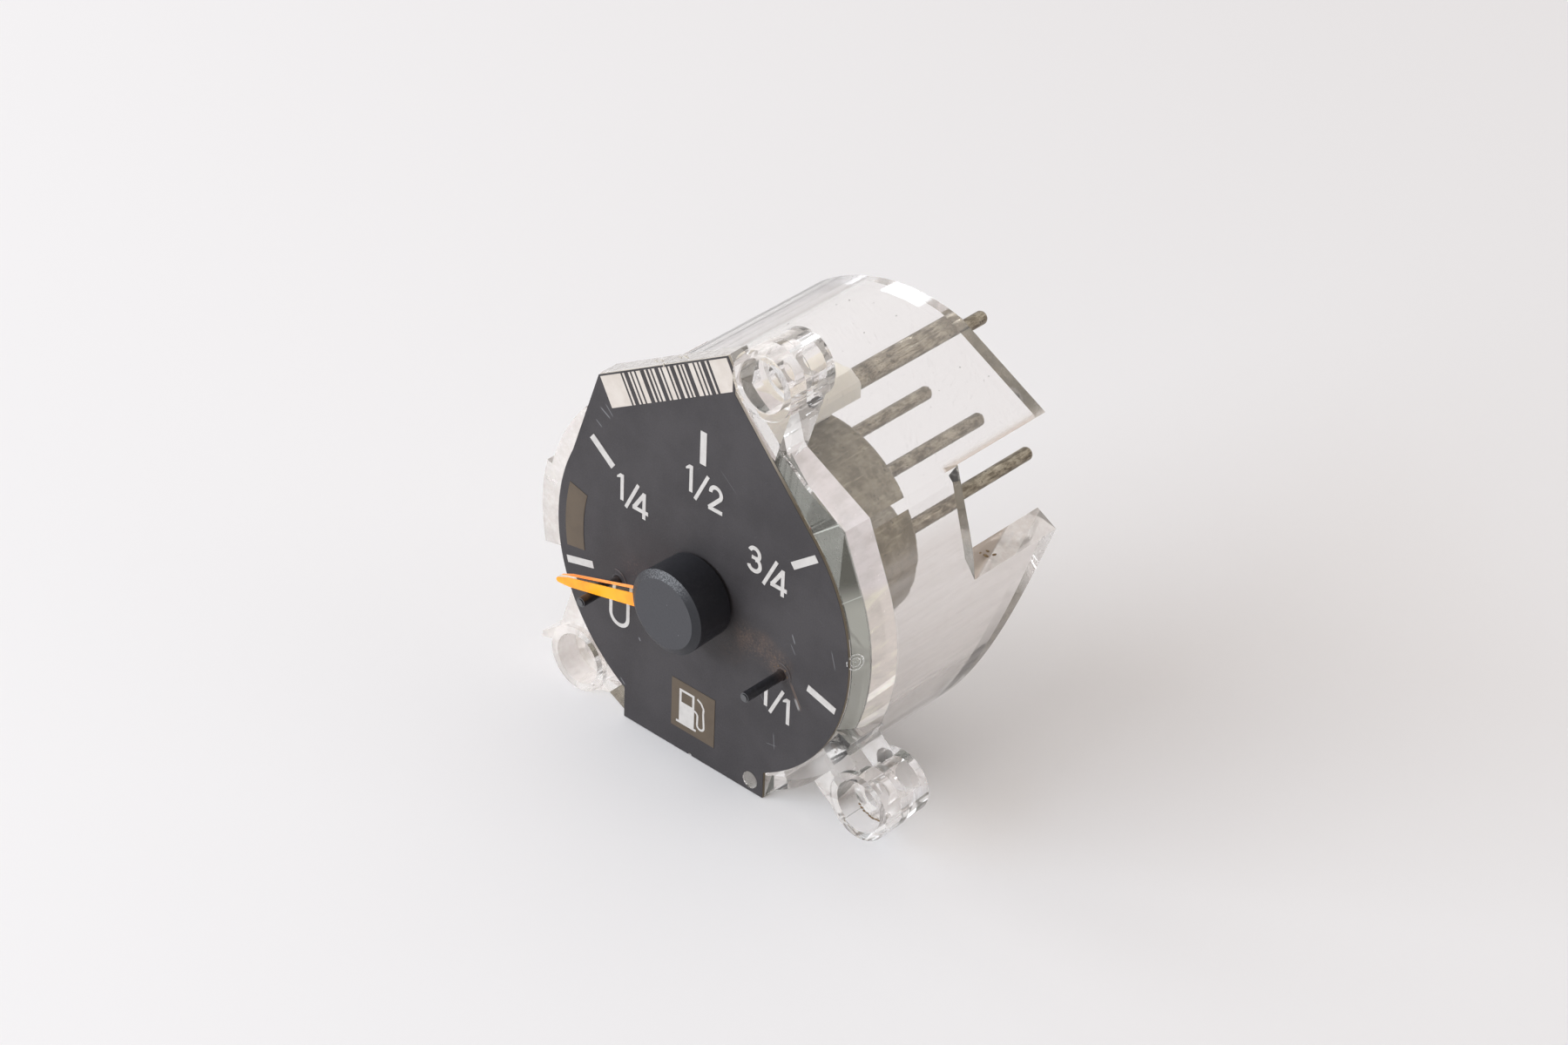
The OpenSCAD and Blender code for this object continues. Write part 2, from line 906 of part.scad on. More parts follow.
module rotor_magnet() {
    color("darkslategray")
        gauge()
            difference() {
                bar(0, 0, magnet_r, bobbin_mid - magnet_l / 2, bobbin_mid + magnet_l / 2);
                bar(0, 0, spindle_r + 0.01, bobbin_mid - magnet_l, bobbin_mid + magnet_l);
            }
}

// The front bearing sits in the carrier's nose and the rear one in the bobbin
bearing_r = 2;
bearing_l = 3;
bearing_y = plate_rear - 2;

module front_bearing() {
    color("peru")
        gauge()
            difference() {
                bar(0, 0, bearing_r, bearing_y, bearing_y + bearing_l);
                bar(0, 0, spindle_r + run, bearing_y - 1, bearing_y + bearing_l + 1);
            }
}

rear_bearing_r = 1.3;
rear_bearing_y = bobbin_end - 1.2;

module rear_bearing() {
    color("peru")
        gauge()
            difference() {
                bar(0, 0, rear_bearing_r, rear_bearing_y, spindle_end + 0.5);
                bar(0, 0, spindle_r + run, rear_bearing_y - 1, spindle_end + 0.1);
            }
}

// The two halves of the bobbin close over the rotor magnet
module bobbin_half_body(y0, y1, hole_r) {
    color("ivory")
        gauge()
            difference() {
                slab(y0, y1)
                    square(2 * bobbin_half, center = true);
                bar(0, 0, magnet_r + magnet_room, bobbin_mid - magnet_l / 2 - magnet_room,
                    bobbin_mid + magnet_l / 2 + magnet_room);
                bar(0, 0, hole_r, y0 - 1, y1 + 1);
            }
}

module bobbin_front() {
    bobbin_half_body(bobbin_y, bobbin_mid - seat / 2, spindle_r + 0.3);
}

module bobbin_rear() {
    bobbin_half_body(bobbin_mid + seat / 2, bobbin_end, rear_bearing_r + seat / 2);
}

// Half of a coil: a flat loop round the bobbin, beside the spindle
module coil_loop(y0, y1, inner) {
    side = 1.5;
    for (s = [-1, 1])
        translate([0, 0, s * (side + coil_w / 2)])
            difference() {
                translate([-inner - coil_t, y0 - coil_t, -coil_w / 2])
                    cube([2 * (inner + coil_t), y1 - y0 + 2 * coil_t, coil_w]);
                translate([-inner, y0, -coil_w])
                    cube([2 * inner, y1 - y0, 2 * coil_w]);
            }
}

module sine_coil() {
    color("chocolate")
        gauge()
            rotate([0, 90, 0])
                coil_loop(bobbin_y - seat, bobbin_end + seat, bobbin_half + seat);
}

module cosine_coil() {
    color("chocolate")
        gauge()
            coil_loop(bobbin_y - coil_t - 2 * seat, bobbin_end + coil_t + 2 * seat, bobbin_half + seat);
}

// A small magnet under the bobbin brings the pointer back to zero when the current stops
module return_magnet() {
    r = 1.1;
    color("gray")
        gauge()
            bar(0, -bobbin_half - seat - r, r, bobbin_mid - 2, bobbin_mid + 2);
}

// Posts that hold the bobbin between the carrier and the terminal plate
post_r = 1;
post_at = bobbin_half - post_r - 0.1;

module posts(y0, y1) {
    for (x = [-1, 1], z = [-1, 1])
        bar(x * post_at, z * post_at, post_r, y0, y1);
}

// The contact pins: three in a row behind the can, and a fourth above it on the carrier's arm
pin_side = 2.6;
row_x = can_r - can_t - pin_side - pin_pitch;
row_z = 4.3;
row_at = [[row_x - pin_pitch, row_z], [row_x, row_z], [row_x + pin_pitch, row_z]];
pin_root_w = 1.2 * pin_r;
pin_room = 0.8;
pin_clear = 0.3;

// The arm is a bar under the top wall round its contact pin, carried by a web at its left
arm_room = 1.1;
arm_wall = 0.75;
arm_corner = 0.6;
web_w = 3.7;
arm_top = body_r - wall - arm_room;
arm_left = row_x - 6.9;
arm_right = row_x + 2;
arm_low = can_r - 1.5;
arm_rear = can_depth - 1;
lamp_drop = 3.1;
lamp_at = [row_x, arm_top - lamp_drop];
lamp_hold = 8;
arm_under = lamp_at[1] - pin_root_w / 2 - arm_wall;

// The movement's screws stand beside the can, in the carrier's ears
screw_r = 1.2;
screw_bite = 4;
ear_r = 3;
ear_room = 1.1;
screw_ring = can_r + ear_r + ear_room;
screw_at = [polar(screw_ring, 165), polar(screw_ring, 285)];

// An ear, which widens towards the carrier's middle
module ear(p) {
    across = [p[1], -p[0]] / norm(p);
    root = 0.6 * p;
    translate(p)
        circle(r = ear_r);
    polygon([root + 0.14 * screw_ring * across, p + ear_r * across, p - ear_r * across,
        root - 0.14 * screw_ring * across]);
}

module carrier_shape() {
    slab(flange_y, flange_y + carrier_t) {
        circle(r = can_r);
        for (p = screw_at)
            ear(p);
    }
    bar(0, 0, nose_r, bearing_y - 0.5, flange_y + eps);
    posts(flange_y + carrier_t - eps, bobbin_y - seat);
    difference() {
        slab(flange_y, arm_rear)
            polygon([[arm_left, arm_low], [arm_left + web_w, arm_low], [arm_left + web_w, arm_under],
                [arm_right - arm_corner, arm_under], [arm_right, arm_under + arm_corner],
                [arm_right, arm_top - 1.9],
                [arm_right - 0.3, arm_top - 1.3], [arm_right - 1.3, arm_top - 0.3],
                [arm_left + 1.4, arm_top], [arm_left, arm_top - 1.1]]);
        bar(0, 0, can_r + can_room, flange_y + carrier_t, arm_rear + 1);
    }
}

can_room = 0.2;

module terminal_carrier() {
    color("linen")
        gauge()
            difference() {
                carrier_shape();
                bar(0, 0, bearing_r + seat / 2, bearing_y - seat / 2, flange_y + carrier_t + 1);
                bar(0, 0, spindle_r + 0.4, 0, bearing_y);
                square_bar(lamp_at, pin_root_w + seat, arm_rear - lamp_hold, arm_rear + 1);
                for (p = screw_at)
                    bar(p[0], p[1], screw_r + can_room, flange_y - 1, flange_y + carrier_t + 1);
            }
}

module terminal_plate() {
    color("ivory")
        gauge()
            difference() {
                union() {
                    bar(0, 0, can_r - can_t - 0.1, terminal_y, terminal_y + terminal_t);
                    posts(bobbin_end + seat, terminal_y + eps);
                }
                for (p = row_at)
                    square_bar(p, pin_root_w + seat, terminal_y + pin_floor, can_depth);
            }
}

module shield_can() {
    edge = 0.6;
    hole = pin_r + pin_room;
    color("tan")
        gauge()
            difference() {
                translate([0, can_y, 0])
                    rotate([-90, 0, 0])
                        rotate_extrude()
                            polygon([[0, 0], [can_r, 0], [can_r, can_depth - can_y - edge],
                                [can_r - edge / 3, can_depth - can_y - edge / 3],
                                [can_r - edge, can_depth - can_y], [0, can_depth - can_y]]);
                bar(0, 0, can_r - can_t, can_y - 1, can_floor_y);
                for (p = row_at)
                    bar(p[0], p[1], hole, can_floor_y - 1, can_depth + 1);
            }
}

module movement_screws() {
    head_r = 2.2;
    head_h = 1.5;
    rear = flange_y + carrier_t + seat;
    color("silver")
        gauge()
            for (p = screw_at)
                difference() {
                    union() {
                        bar(p[0], p[1], screw_r - seat / 2, plate_rear - screw_bite + 0.4, rear + eps);
                        bar(p[0], p[1], head_r, rear, rear + head_h);
                    }
                    translate([p[0] - 0.25, rear + head_h - 0.6, p[1] - head_r])
                        cube([0.5, 1, 2 * head_r]);
                }
}

// A contact pin: a square root in its hole, a shoulder, and a round shaft with a rounded tip
module contact_pin(p, y0, shoulder_y) {
    round = 0.45;
    shaft = pin_depth - shoulder_y;
    color("darkkhaki")
        gauge() {
            square_bar(p, pin_root_w, y0, shoulder_y + eps);
            translate([p[0], shoulder_y, p[1]])
                rotate([-90, 0, 0])
                    rotate_extrude()
                        polygon([[0, 0], [pin_r, 0], [pin_r, shaft - round],
                            [pin_r - round * 0.3, shaft - round * 0.3], [pin_r - round, shaft], [0, shaft]]);
        }
}

module row_pin(k) {
    contact_pin(row_at[k], terminal_y + pin_floor + seat, can_depth + pin_clear);
}

module lamp_pin() {
    contact_pin(lamp_at, arm_rear - lamp_hold + seat, arm_rear + pin_clear);
}

module supply_pin() {
    row_pin(0);
}

module sender_pin() {
    row_pin(1);
}

module ground_pin() {
    row_pin(2);
}

light_guide();
dial_board();
dial_face();
scale_marks();
scale_numbers();
reserve_window();
symbol_window();
pump_symbol();
code_strip();
code_bars();
zero_stop_pin();
full_stop_pin();
hub_cap();
pointer_blade();
pointer_foil();
pointer_bush();
spindle();
rotor_magnet();
front_bearing();
rear_bearing();
bobbin_front();
bobbin_rear();
sine_coil();
cosine_coil();
return_magnet();
terminal_carrier();
terminal_plate();
shield_can();
movement_screws();
lamp_pin();
supply_pin();
sender_pin();
ground_pin();
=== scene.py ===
import json
import math
import random

import bmesh
import bpy
from mathutils import Matrix, Vector


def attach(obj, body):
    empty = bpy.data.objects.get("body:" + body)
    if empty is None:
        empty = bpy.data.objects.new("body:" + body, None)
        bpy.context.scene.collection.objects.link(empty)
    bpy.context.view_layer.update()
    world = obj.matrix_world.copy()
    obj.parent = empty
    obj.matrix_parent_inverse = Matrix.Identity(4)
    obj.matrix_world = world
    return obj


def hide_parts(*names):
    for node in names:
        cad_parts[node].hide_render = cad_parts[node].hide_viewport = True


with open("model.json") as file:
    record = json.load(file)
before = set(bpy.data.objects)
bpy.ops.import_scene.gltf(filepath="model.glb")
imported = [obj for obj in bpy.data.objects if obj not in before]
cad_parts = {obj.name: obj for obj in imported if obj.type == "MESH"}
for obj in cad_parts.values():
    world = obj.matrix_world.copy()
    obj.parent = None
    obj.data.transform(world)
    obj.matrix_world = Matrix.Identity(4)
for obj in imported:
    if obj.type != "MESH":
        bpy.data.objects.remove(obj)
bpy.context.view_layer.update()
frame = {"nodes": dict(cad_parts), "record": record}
nodes = frame["nodes"]
scene = bpy.context.scene

# The point where the pointer's axis meets the dial's face, in the row frame, in metres. Lengths below are in
# millimetres and places are counted from that point: x to the dial's right, y into the part, z up
AXIS = Vector((-0.0024, -0.02345, 0.0288))
MM = 1000  # in a metre


def spot(x, y, z):
    return AXIS + Vector((x, y, z)) / MM


def srgb(r, g, b):
    """A colour in 0 to 255, to linear."""
    return tuple((v / 255 / 12.92) if v <= 10 else ((v / 255 + 0.055) / 1.055) ** 2.4 for v in (r, g, b))


# ---------------------------------------------------------------- node helpers
def feed(tree, socket, value):
    """Links another node's output to a socket, or sets the socket to a constant."""
    if isinstance(value, bpy.types.NodeSocket):
        tree.links.new(value, socket)
    else:
        socket.default_value = value


def add_node(tree, kind, inputs=None, **settings):
    n = tree.nodes.new(kind)
    for key, value in settings.items():
        setattr(n, key, value)
    for key, value in (inputs or {}).items():
        feed(tree, n.inputs[key], value)
    return n


class Paint:
    """Builds one procedural material in the part's own millimetres."""

    SOCKETS = {"color": "Base Color", "rough": "Roughness", "metal": "Metallic", "normal": "Normal", "ior": "IOR",
               "spec": "Specular IOR Level", "trans": "Transmission Weight", "glow": "Emission Color",
               "glow_power": "Emission Strength", "sss": "Subsurface Weight", "sss_scale": "Subsurface Scale",
               "sss_radius": "Subsurface Radius"}

    def __init__(self, name):
        self.mat = bpy.data.materials.new(name)
        self.mat.use_nodes = True
        self.tree = self.mat.node_tree
        self.tree.nodes.clear()
        self.out = self.tree.nodes.new("ShaderNodeOutputMaterial")
        metres = self.tree.nodes.new("ShaderNodeTexCoord").outputs["Object"]
        self.place = self.node("ShaderNodeMapping", {"Vector": metres, "Location": tuple(AXIS * -MM),
                                                     "Scale": (MM, MM, MM)}).outputs[0]

    def node(self, kind, inputs=None, **settings):
        return add_node(self.tree, kind, inputs, **settings)

    def axes(self):
        """x, y and z of the place."""
        return self.node("ShaderNodeSeparateXYZ", {0: self.place}).outputs

    def turned(self, rotation=(0, 0, 0), scale=(1, 1, 1)):
        """The place, turned and then scaled, so that a pattern can run along a direction."""
        first = self.node("ShaderNodeMapping", {"Vector": self.place, "Rotation": rotation}).outputs[0]
        return self.node("ShaderNodeMapping", {"Vector": first, "Scale": scale}).outputs[0]

    def noise(self, scale, detail=3.0, rough=0.6, where=None):
        return self.node("ShaderNodeTexNoise", {"Vector": where or self.place, "Scale": scale, "Detail": detail,
                                                "Roughness": rough}).outputs["Fac"]

    def cells(self, scale):
        """Distance from the nearest of many scattered points."""
        return self.node("ShaderNodeTexVoronoi", {"Vector": self.place, "Scale": scale}).outputs["Distance"]

    def ramp(self, value, low, high, at_low=0.0, at_high=1.0):
        """A smooth step between two values."""
        return self.node("ShaderNodeMapRange", {"Value": value, "From Min": low, "From Max": high,
                                                "To Min": at_low, "To Max": at_high},
                         clamp=True, interpolation_type="SMOOTHSTEP").outputs[0]

    def fall(self, value, low, high):
        """1 up to the low value, 0 from the high one."""
        return self.ramp(value, low, high, 1.0, 0.0)

    def band(self, value, rise, fall):
        """1 between two soft limits, each a pair of values."""
        return self.mul(self.ramp(value, *rise), self.fall(value, *fall))

    def math(self, op, *values):
        """One operation of the Math node."""
        return self.node("ShaderNodeMath", dict(enumerate(values)), operation=op).outputs[0]

    def mul(self, *values):
        out = values[0]
        for v in values[1:]:
            out = self.math("MULTIPLY", out, v)
        return out

    def most(self, *values):
        out = values[0]
        for v in values[1:]:
            out = self.math("MAXIMUM", out, v)
        return out

    def plus(self, value, by, base):
        """value times by, plus base."""
        return self.math("MULTIPLY_ADD", value, by, base)

    def mix(self, fac, a, b):
        """From colour a to colour b."""
        a, b = ((*c, 1) if isinstance(c, tuple) else c for c in (a, b))
        return self.node("ShaderNodeMix", {0: fac, 6: a, 7: b}, data_type="RGBA", clamp_factor=True).outputs[2]

    def two_tone(self, value, low, high, a, b):
        """Colour a where a value is low, b where it is high."""
        return self.mix(self.ramp(value, low, high), a, b)

    def bump(self, height, strength, distance=0.0001):
        return self.node("ShaderNodeBump", {"Height": height, "Strength": strength,
                                            "Distance": distance}).outputs[0]

    def facing(self, x=0.0, y=0.0, z=0.0):
        """How far a face turns towards a direction, from -1 to 1."""
        normal = self.node("ShaderNodeTexCoord").outputs["Normal"]
        return self.node("ShaderNodeVectorMath", {0: normal, 1: (x, y, z)},
                         operation="DOT_PRODUCT").outputs["Value"]

    def near(self, x, y, z, radius, soft):
        """1 round a point, falling to 0 over a soft edge."""
        away = self.node("ShaderNodeVectorMath", {0: self.place, 1: (x, y, z)}, operation="DISTANCE")
        return self.fall(away.outputs["Value"], radius, radius + soft)

    def line(self, a, b, width):
        """1 along a straight scratch between two (x, z) points of the dial, fading at its ends."""
        start, way = Vector((a[0], 0, a[1])), Vector((b[0] - a[0], 0, b[1] - a[1]))
        off = self.node("ShaderNodeVectorMath", {0: self.place, 1: tuple(start)}, operation="SUBTRACT").outputs[0]
        flat = self.node("ShaderNodeVectorMath", {0: off, 1: (1, 0, 1)}, operation="MULTIPLY").outputs[0]
        along = self.node("ShaderNodeVectorMath", {0: flat, 1: tuple(way / way.length_squared)},
                          operation="DOT_PRODUCT").outputs["Value"]
        across = self.node("ShaderNodeVectorMath", {0: flat, 1: (way.z / way.length, 0, -way.x / way.length)},
                           operation="DOT_PRODUCT").outputs["Value"]
        thin = self.fall(self.math("ABSOLUTE", across), width * 0.4, width)
        return self.mul(thin, self.band(along, (0.0, 0.25), (0.75, 1.0)))

    def principled(self, **inputs):
        n = self.tree.nodes.new("ShaderNodeBsdfPrincipled")
        for key, value in inputs.items():
            if key in ("color", "glow") and isinstance(value, tuple):
                value = (*value, 1)
            feed(self.tree, n.inputs[self.SOCKETS[key]], value)
        return n.outputs[0]

    def done(self, shader):
        self.tree.links.new(shader, self.out.inputs["Surface"])
        return self.mat


def clear_shader(p, body, tint):
    """A clear body that lets lamp light through, tinted."""
    lamp_ray = p.node("ShaderNodeLightPath").outputs["Is Shadow Ray"]
    through = p.node("ShaderNodeBsdfTransparent", {"Color": (*tint, 1)}).outputs[0]
    return p.node("ShaderNodeMixShader", {0: lamp_ray, 1: body, 2: through}).outputs[0]


# ---------------------------------------------------------------- materials
def acrylic():
    """Clear and faintly warm, with scuffs, a little cloud and specks. The bevel, the drafted rim, the cut and
    moulded edges and the left flange each have their own haze and colour. The bevel and the side wall carry
    painted shade, the roof panel's rear edge a painted reflection, and the rim and the cut edge a painted glow."""
    p = Paint("clear_acrylic")
    x, y, z = p.axes()
    front = p.facing(y=-1)
    streaks = p.noise(1.1, 3, 0.65, p.turned((0.3, 0.0, 0.5), (0.12, 2.2, 1.0)))
    crossing = p.noise(1.3, 3, 0.65, p.turned((-0.4, 0.5, -0.2), (1.8, 0.1, 1.4)))
    scuff = p.most(p.ramp(streaks, 0.62, 0.74), p.ramp(crossing, 0.64, 0.76))
    cloud = p.noise(0.16, 3, 0.6)
    mottle = p.noise(0.9, 4, 0.7)
    bands = p.noise(0.5, 3, 0.6, p.turned(scale=(1.0, 0.5, 1.0)))
    at_rear = p.mul(p.ramp(p.facing(y=1), 0.9, 0.97), p.ramp(y, 40.0, 42.0))

    # the drafted rim of the plate behind the bevel, clearer towards its foot
    rim = p.mul(p.band(y, (3.15, 3.4), (7.1, 7.3)), p.band(front, (0.12, 0.2), (0.44, 0.55)),
                p.ramp(bands, 0.32, 0.62, 0.74, 0.9), p.ramp(z, -15.0, -2.0, 0.6, 1.0))
    # the bevel, with a fine line at each of its two corners
    bevel = p.mul(p.band(y, (0.45, 0.6), (3.0, 3.25)), p.band(front, (0.3, 0.4), (0.5, 0.6)))
    creases = p.mul(p.most(p.line((18.4, 18.4), (28.0, 24.2), 0.14), p.line((24.4, 10.2), (29.6, 12.7), 0.12)),
                    p.fall(y, 3.2, 3.5))
    # the level top edge over the code strip
    top = p.mul(p.ramp(p.facing(x=-0.5, z=0.866), 0.9, 0.96), p.fall(y, 7.1, 7.4), p.ramp(z, 25.0, 26.5),
                p.ramp(mottle, 0.35, 0.65, 0.4, 0.62))
    # the notch's floor: beige in its corner, milky beyond, clearer at the tip. Both borders run aslant
    corner_to = p.plus(x, 2.94, y)
    tip_from = p.plus(x, 2.82, y)
    notch = p.mul(p.ramp(p.facing(x=0.5, z=0.866), 0.93, 0.98), p.ramp(x, 22.0, 24.0), p.ramp(y, 22.0, 23.0))
    milky_part = p.mul(notch, p.ramp(corner_to, 110.2, 111.4), p.fall(tip_from, 115.3, 116.1))
    beige_part = p.mul(notch, p.fall(corner_to, 110.2, 111.4))
    notch = p.most(p.mul(milky_part, p.ramp(bands, 0.35, 0.62, 0.6, 0.85)), p.mul(beige_part, 0.5),
                   p.mul(notch, 0.42))
    # the side wall, with long flow lines; its mauve-grey is painted shade, for the shadowed floor seen through it
    side = p.mul(p.ramp(x, 22.0, 25.0), p.fall(z, 11.0, 17.0), p.ramp(y, 7.2, 7.6),
                 p.ramp(p.facing(x=0.97, z=-0.24), 0.45, 0.6))
    flow = p.noise(0.45, 3, 0.6, p.turned(scale=(1.0, 0.08, 1.0)))
    flow_and_shade = p.mul(side, p.ramp(flow, 0.36, 0.64, 0.05, 0.2))
    # the rear edges of the roof's flat panel and of its left end. The panel's brown-grey is a painted reflection of
    # the pins and the can
    panel = p.mul(at_rear, p.ramp(x, 14.0, 15.0), 0.5)
    roof_end = p.mul(at_rear, p.fall(x, 7.0, 13.0), 0.5)
    # the fin's cut edge
    cut = p.mul(p.ramp(p.facing(y=0.75, z=-0.65), 0.6, 0.85), p.ramp(y, 24.0, 26.0), p.ramp(x, 20.0, 22.0),
                p.ramp(p.noise(1.7, 4, 0.75), 0.42, 0.58, 0.2, 0.8))
    # the left flange and boss, and the root of the lower right boss
    flange = p.mul(p.most(p.fall(x, -24.0, -20.0), p.near(24.5, 5.0, -17.0, 3.0, 4.0)),
                   p.ramp(cloud, 0.25, 0.75, 0.27, 0.41))

    haze = p.plus(scuff, 0.07, 0.02)
    haze = p.plus(p.mul(p.ramp(cloud, 0.5, 0.75), p.ramp(streaks, 0.4, 0.7)), 0.06, haze)
    haze = p.most(haze, flange, rim, p.mul(bevel, 0.5), top, roof_end, cut, notch, panel, flow_and_shade,
                  p.mul(creases, 0.8))
    specks = p.mul(p.fall(p.cells(0.9), 0.03, 0.07), p.ramp(p.noise(0.3, 2, 0.5), 0.55, 0.6))
    clear = p.math("SUBTRACT", 1.0, p.most(haze, p.mul(specks, 0.9)))

    milk = p.two_tone(mottle, 0.35, 0.65, srgb(240, 233, 229), srgb(251, 247, 244))
    # the rim is faintly lilac above its lower crease, and cream with slanting streaks below
    slanting = p.noise(0.55, 3, 0.6, p.turned((-0.52, 0.0, 0.0), (0.8, 0.16, 0.9)))
    rim_cream = p.two_tone(slanting, 0.44, 0.62, srgb(232, 224, 219), srgb(252, 247, 232))
    rim_lilac = srgb(236, 230, 234)
    milk = p.mix(rim, milk, p.two_tone(z, 10.5, 12.5, rim_cream, rim_lilac))
    # the bevel is pale low down and greyer above its lower corner: painted shade, for the shaded board seen through
    # it
    milk = p.mix(bevel, milk, p.two_tone(z, 9.5, 13.5, srgb(217, 217, 209), srgb(106, 105, 98)))
    # the creases' colour, the panel's painted reflection, the notch's beige corner and the side wall's painted shade
    for zone, colour in ((creases, srgb(214, 218, 212)), (panel, srgb(160, 144, 124)),
                         (beige_part, srgb(226, 210, 196)), (flow_and_shade, srgb(206, 196, 192))):
        milk = p.mix(zone, milk, colour)
    # the body's own faint tint, and the side wall's darker painted shade
    body_tint, side_shade_tint = (0.972, 0.954, 0.943), (0.895, 0.862, 0.845)
    color = p.two_tone(haze, 0.12, 0.4, p.mix(side, body_tint, side_shade_tint), milk)
    color = p.mix(specks, color, srgb(96, 84, 72))
    rough = p.plus(p.most(rim, top, cut), 0.25, p.plus(scuff, 0.1, 0.01))
    height = p.math("ADD", p.mul(streaks, 0.3), p.mul(p.most(rim, cut), mottle, 0.7))

    # painted glow, standing in for light that the body leads out at its rim, most at two facets, and at the fin's
    # cut edge
    leaning = p.plus(y, -0.55, z)
    facets = p.most(p.band(leaning, (-7.7, -7.4), (-6.1, -5.8)), p.band(leaning, (-13.6, -13.2), (-11.4, -11.0)))
    painted_glow = p.mix(rim, (0, 0, 0), p.mix(facets, (0.085, 0.074, 0.062), (0.36, 0.35, 0.34)))
    painted_glow = p.mix(cut, painted_glow, (0.40, 0.385, 0.375))
    body = p.principled(color=color, rough=rough, trans=clear, ior=1.49, normal=p.bump(height, 0.12, 0.00004),
                        glow=painted_glow, glow_power=1.0)
    return p.done(clear_shader(p, body, (0.87, 0.835, 0.80)))


# Pale scratches on the dial: from and to as (x, z), width, strength
SCRATCHES = [((-19.6, 21.6), (-17.4, 20.4), 0.16, 0.5), ((-18.6, 22.6), (-16.9, 20.9), 0.12, 0.4),
             ((-20.4, 19.2), (-19.0, 18.3), 0.14, 0.35), ((17.2, 1.9), (17.9, 0.3), 0.12, 0.6),
             ((17.0, 0.2), (18.1, -1.5), 0.1, 0.35), ((24.3, 2.9), (25.3, -0.4), 0.12, 0.3),
             ((14.6, -16.2), (14.9, -19.4), 0.1, 0.35), ((15.6, -23.6), (14.1, -26.2), 0.1, 0.4),
             ((17.6, -23.2), (16.6, -25.2), 0.1, 0.35), ((13.2, -18.8), (15.4, -18.4), 0.08, 0.3),
             ((-14.9, -22.2), (-13.8, -23.2), 0.14, 0.5), ((-11.4, -13.4), (-11.0, -14.0), 0.16, 0.6),
             ((11.6, -10.6), (13.6, -13.4), 0.08, 0.25), ((3.0, 22.0), (6.5, 19.2), 0.07, 0.2)]
# The brown smear and the pale chip by the right stop pin: from, to, width, strength, colour
SMEARS = [((17.1, -6.0), (19.6, -10.2), 0.32, 0.55, srgb(122, 104, 94)),
          ((18.2, -8.4), (19.2, -10.3), 0.3, 0.85, srgb(158, 156, 156))]


def charcoal():
    """The dial's matt print, a little darker low down, with brown dust, smears, scratches and hairlines."""
    p = Paint("dial_charcoal")
    cloud = p.noise(0.09, 4, 0.6)
    grain = p.noise(4.0, 2, 0.7)
    base = p.two_tone(cloud, 0.35, 0.65, srgb(57, 54, 56), srgb(66, 63, 65))
    base = p.mix(p.ramp(p.axes()[2], -26.0, 8.0, 0.12, 0.0), base, srgb(54, 51, 54))
    # brown dust below the hub, round the right stop pin and by the left one
    crumbly = p.ramp(p.noise(2.6, 4, 0.8), 0.48, 0.64)
    veil = p.ramp(p.noise(0.45, 3, 0.6), 0.35, 0.65)
    trail = p.most(p.mul(p.near(6.2, 0, -6.0, 0.4, 3.4), 0.25), p.near(9.2, 0, -3.4, 0.5, 3.4),
                   p.near(12.3, 0, -3.2, 0.6, 3.0), p.near(15.0, 0, -4.4, 0.8, 2.6))
    base = p.mix(p.mul(trail, veil, 0.4), base, srgb(104, 86, 76))
    base = p.mix(p.mul(trail, crumbly, 0.5), base, srgb(124, 102, 88))
    base = p.mix(p.mul(p.near(-12.6, 0, -2.2, 0.4, 3.0), crumbly, 0.35), base, srgb(112, 92, 84))
    for start, end, width, strength, colour in SMEARS:
        base = p.mix(p.mul(p.line(start, end, width), strength), base, colour)
    for start, end, width, strength in SCRATCHES:
        base = p.mix(p.mul(p.line(start, end, width), strength), base, srgb(150, 150, 154))
    hairs = p.noise(2.2, 2, 0.6, p.turned((0, 0.7, 0), (0.12, 1.0, 2.6)))
    hairs_across = p.noise(2.0, 2, 0.6, p.turned((0, -0.5, 0), (0.10, 1.0, 2.8)))
    fine = p.most(p.ramp(hairs, 0.7, 0.78), p.ramp(hairs_across, 0.7, 0.78))
    base = p.mix(p.mul(fine, 0.22), base, srgb(126, 126, 131))
    height = p.math("ADD", grain, p.mul(fine, -0.5))
    return p.done(p.principled(color=base, rough=p.ramp(grain, 0.3, 0.7, 0.46, 0.62),
                               normal=p.bump(height, 0.2, 0.00004), spec=0.35))


def plain(name, dark, light, rough=0.5, scale=0.3, **more):
    """Two near tones in a fine cloud, with a matching bump."""
    p = Paint(name)
    cloud = p.noise(scale, 4, 0.65)
    return p.done(p.principled(color=p.two_tone(cloud, 0.35, 0.65, dark, light),
                               rough=p.ramp(cloud, 0.3, 0.7, rough - 0.08, rough + 0.08),
                               normal=p.bump(cloud, 0.1, 0.00005), **more))


def board():
    """The dial's carrier: brown edges, cream at the top, and grey-green at the back, where it shows through the
    clear body, with a painted glow on the back."""
    p = Paint("dial_board")
    cloud = p.noise(0.35, 4, 0.65)
    height = p.axes()[2]
    edge = p.two_tone(height, 22.0, 30.0, p.mix(cloud, srgb(98, 88, 72), srgb(124, 114, 96)),
                     p.mix(cloud, srgb(186, 178, 166), srgb(214, 208, 198)))
    rear = p.two_tone(height, 12.0, 26.0, p.mix(cloud, srgb(196, 199, 193), srgb(208, 211, 205)),
                     srgb(232, 230, 227))
    back = p.ramp(p.facing(y=1), 0.4, 0.6)
    # a painted glow on the board's back, standing in for light that the clear body leads there
    painted_glow = p.mix(back, (0, 0, 0), rear)
    return p.done(p.principled(color=p.mix(back, edge, rear), rough=0.6, normal=p.bump(cloud, 0.15), glow=painted_glow,
                               glow_power=0.42))


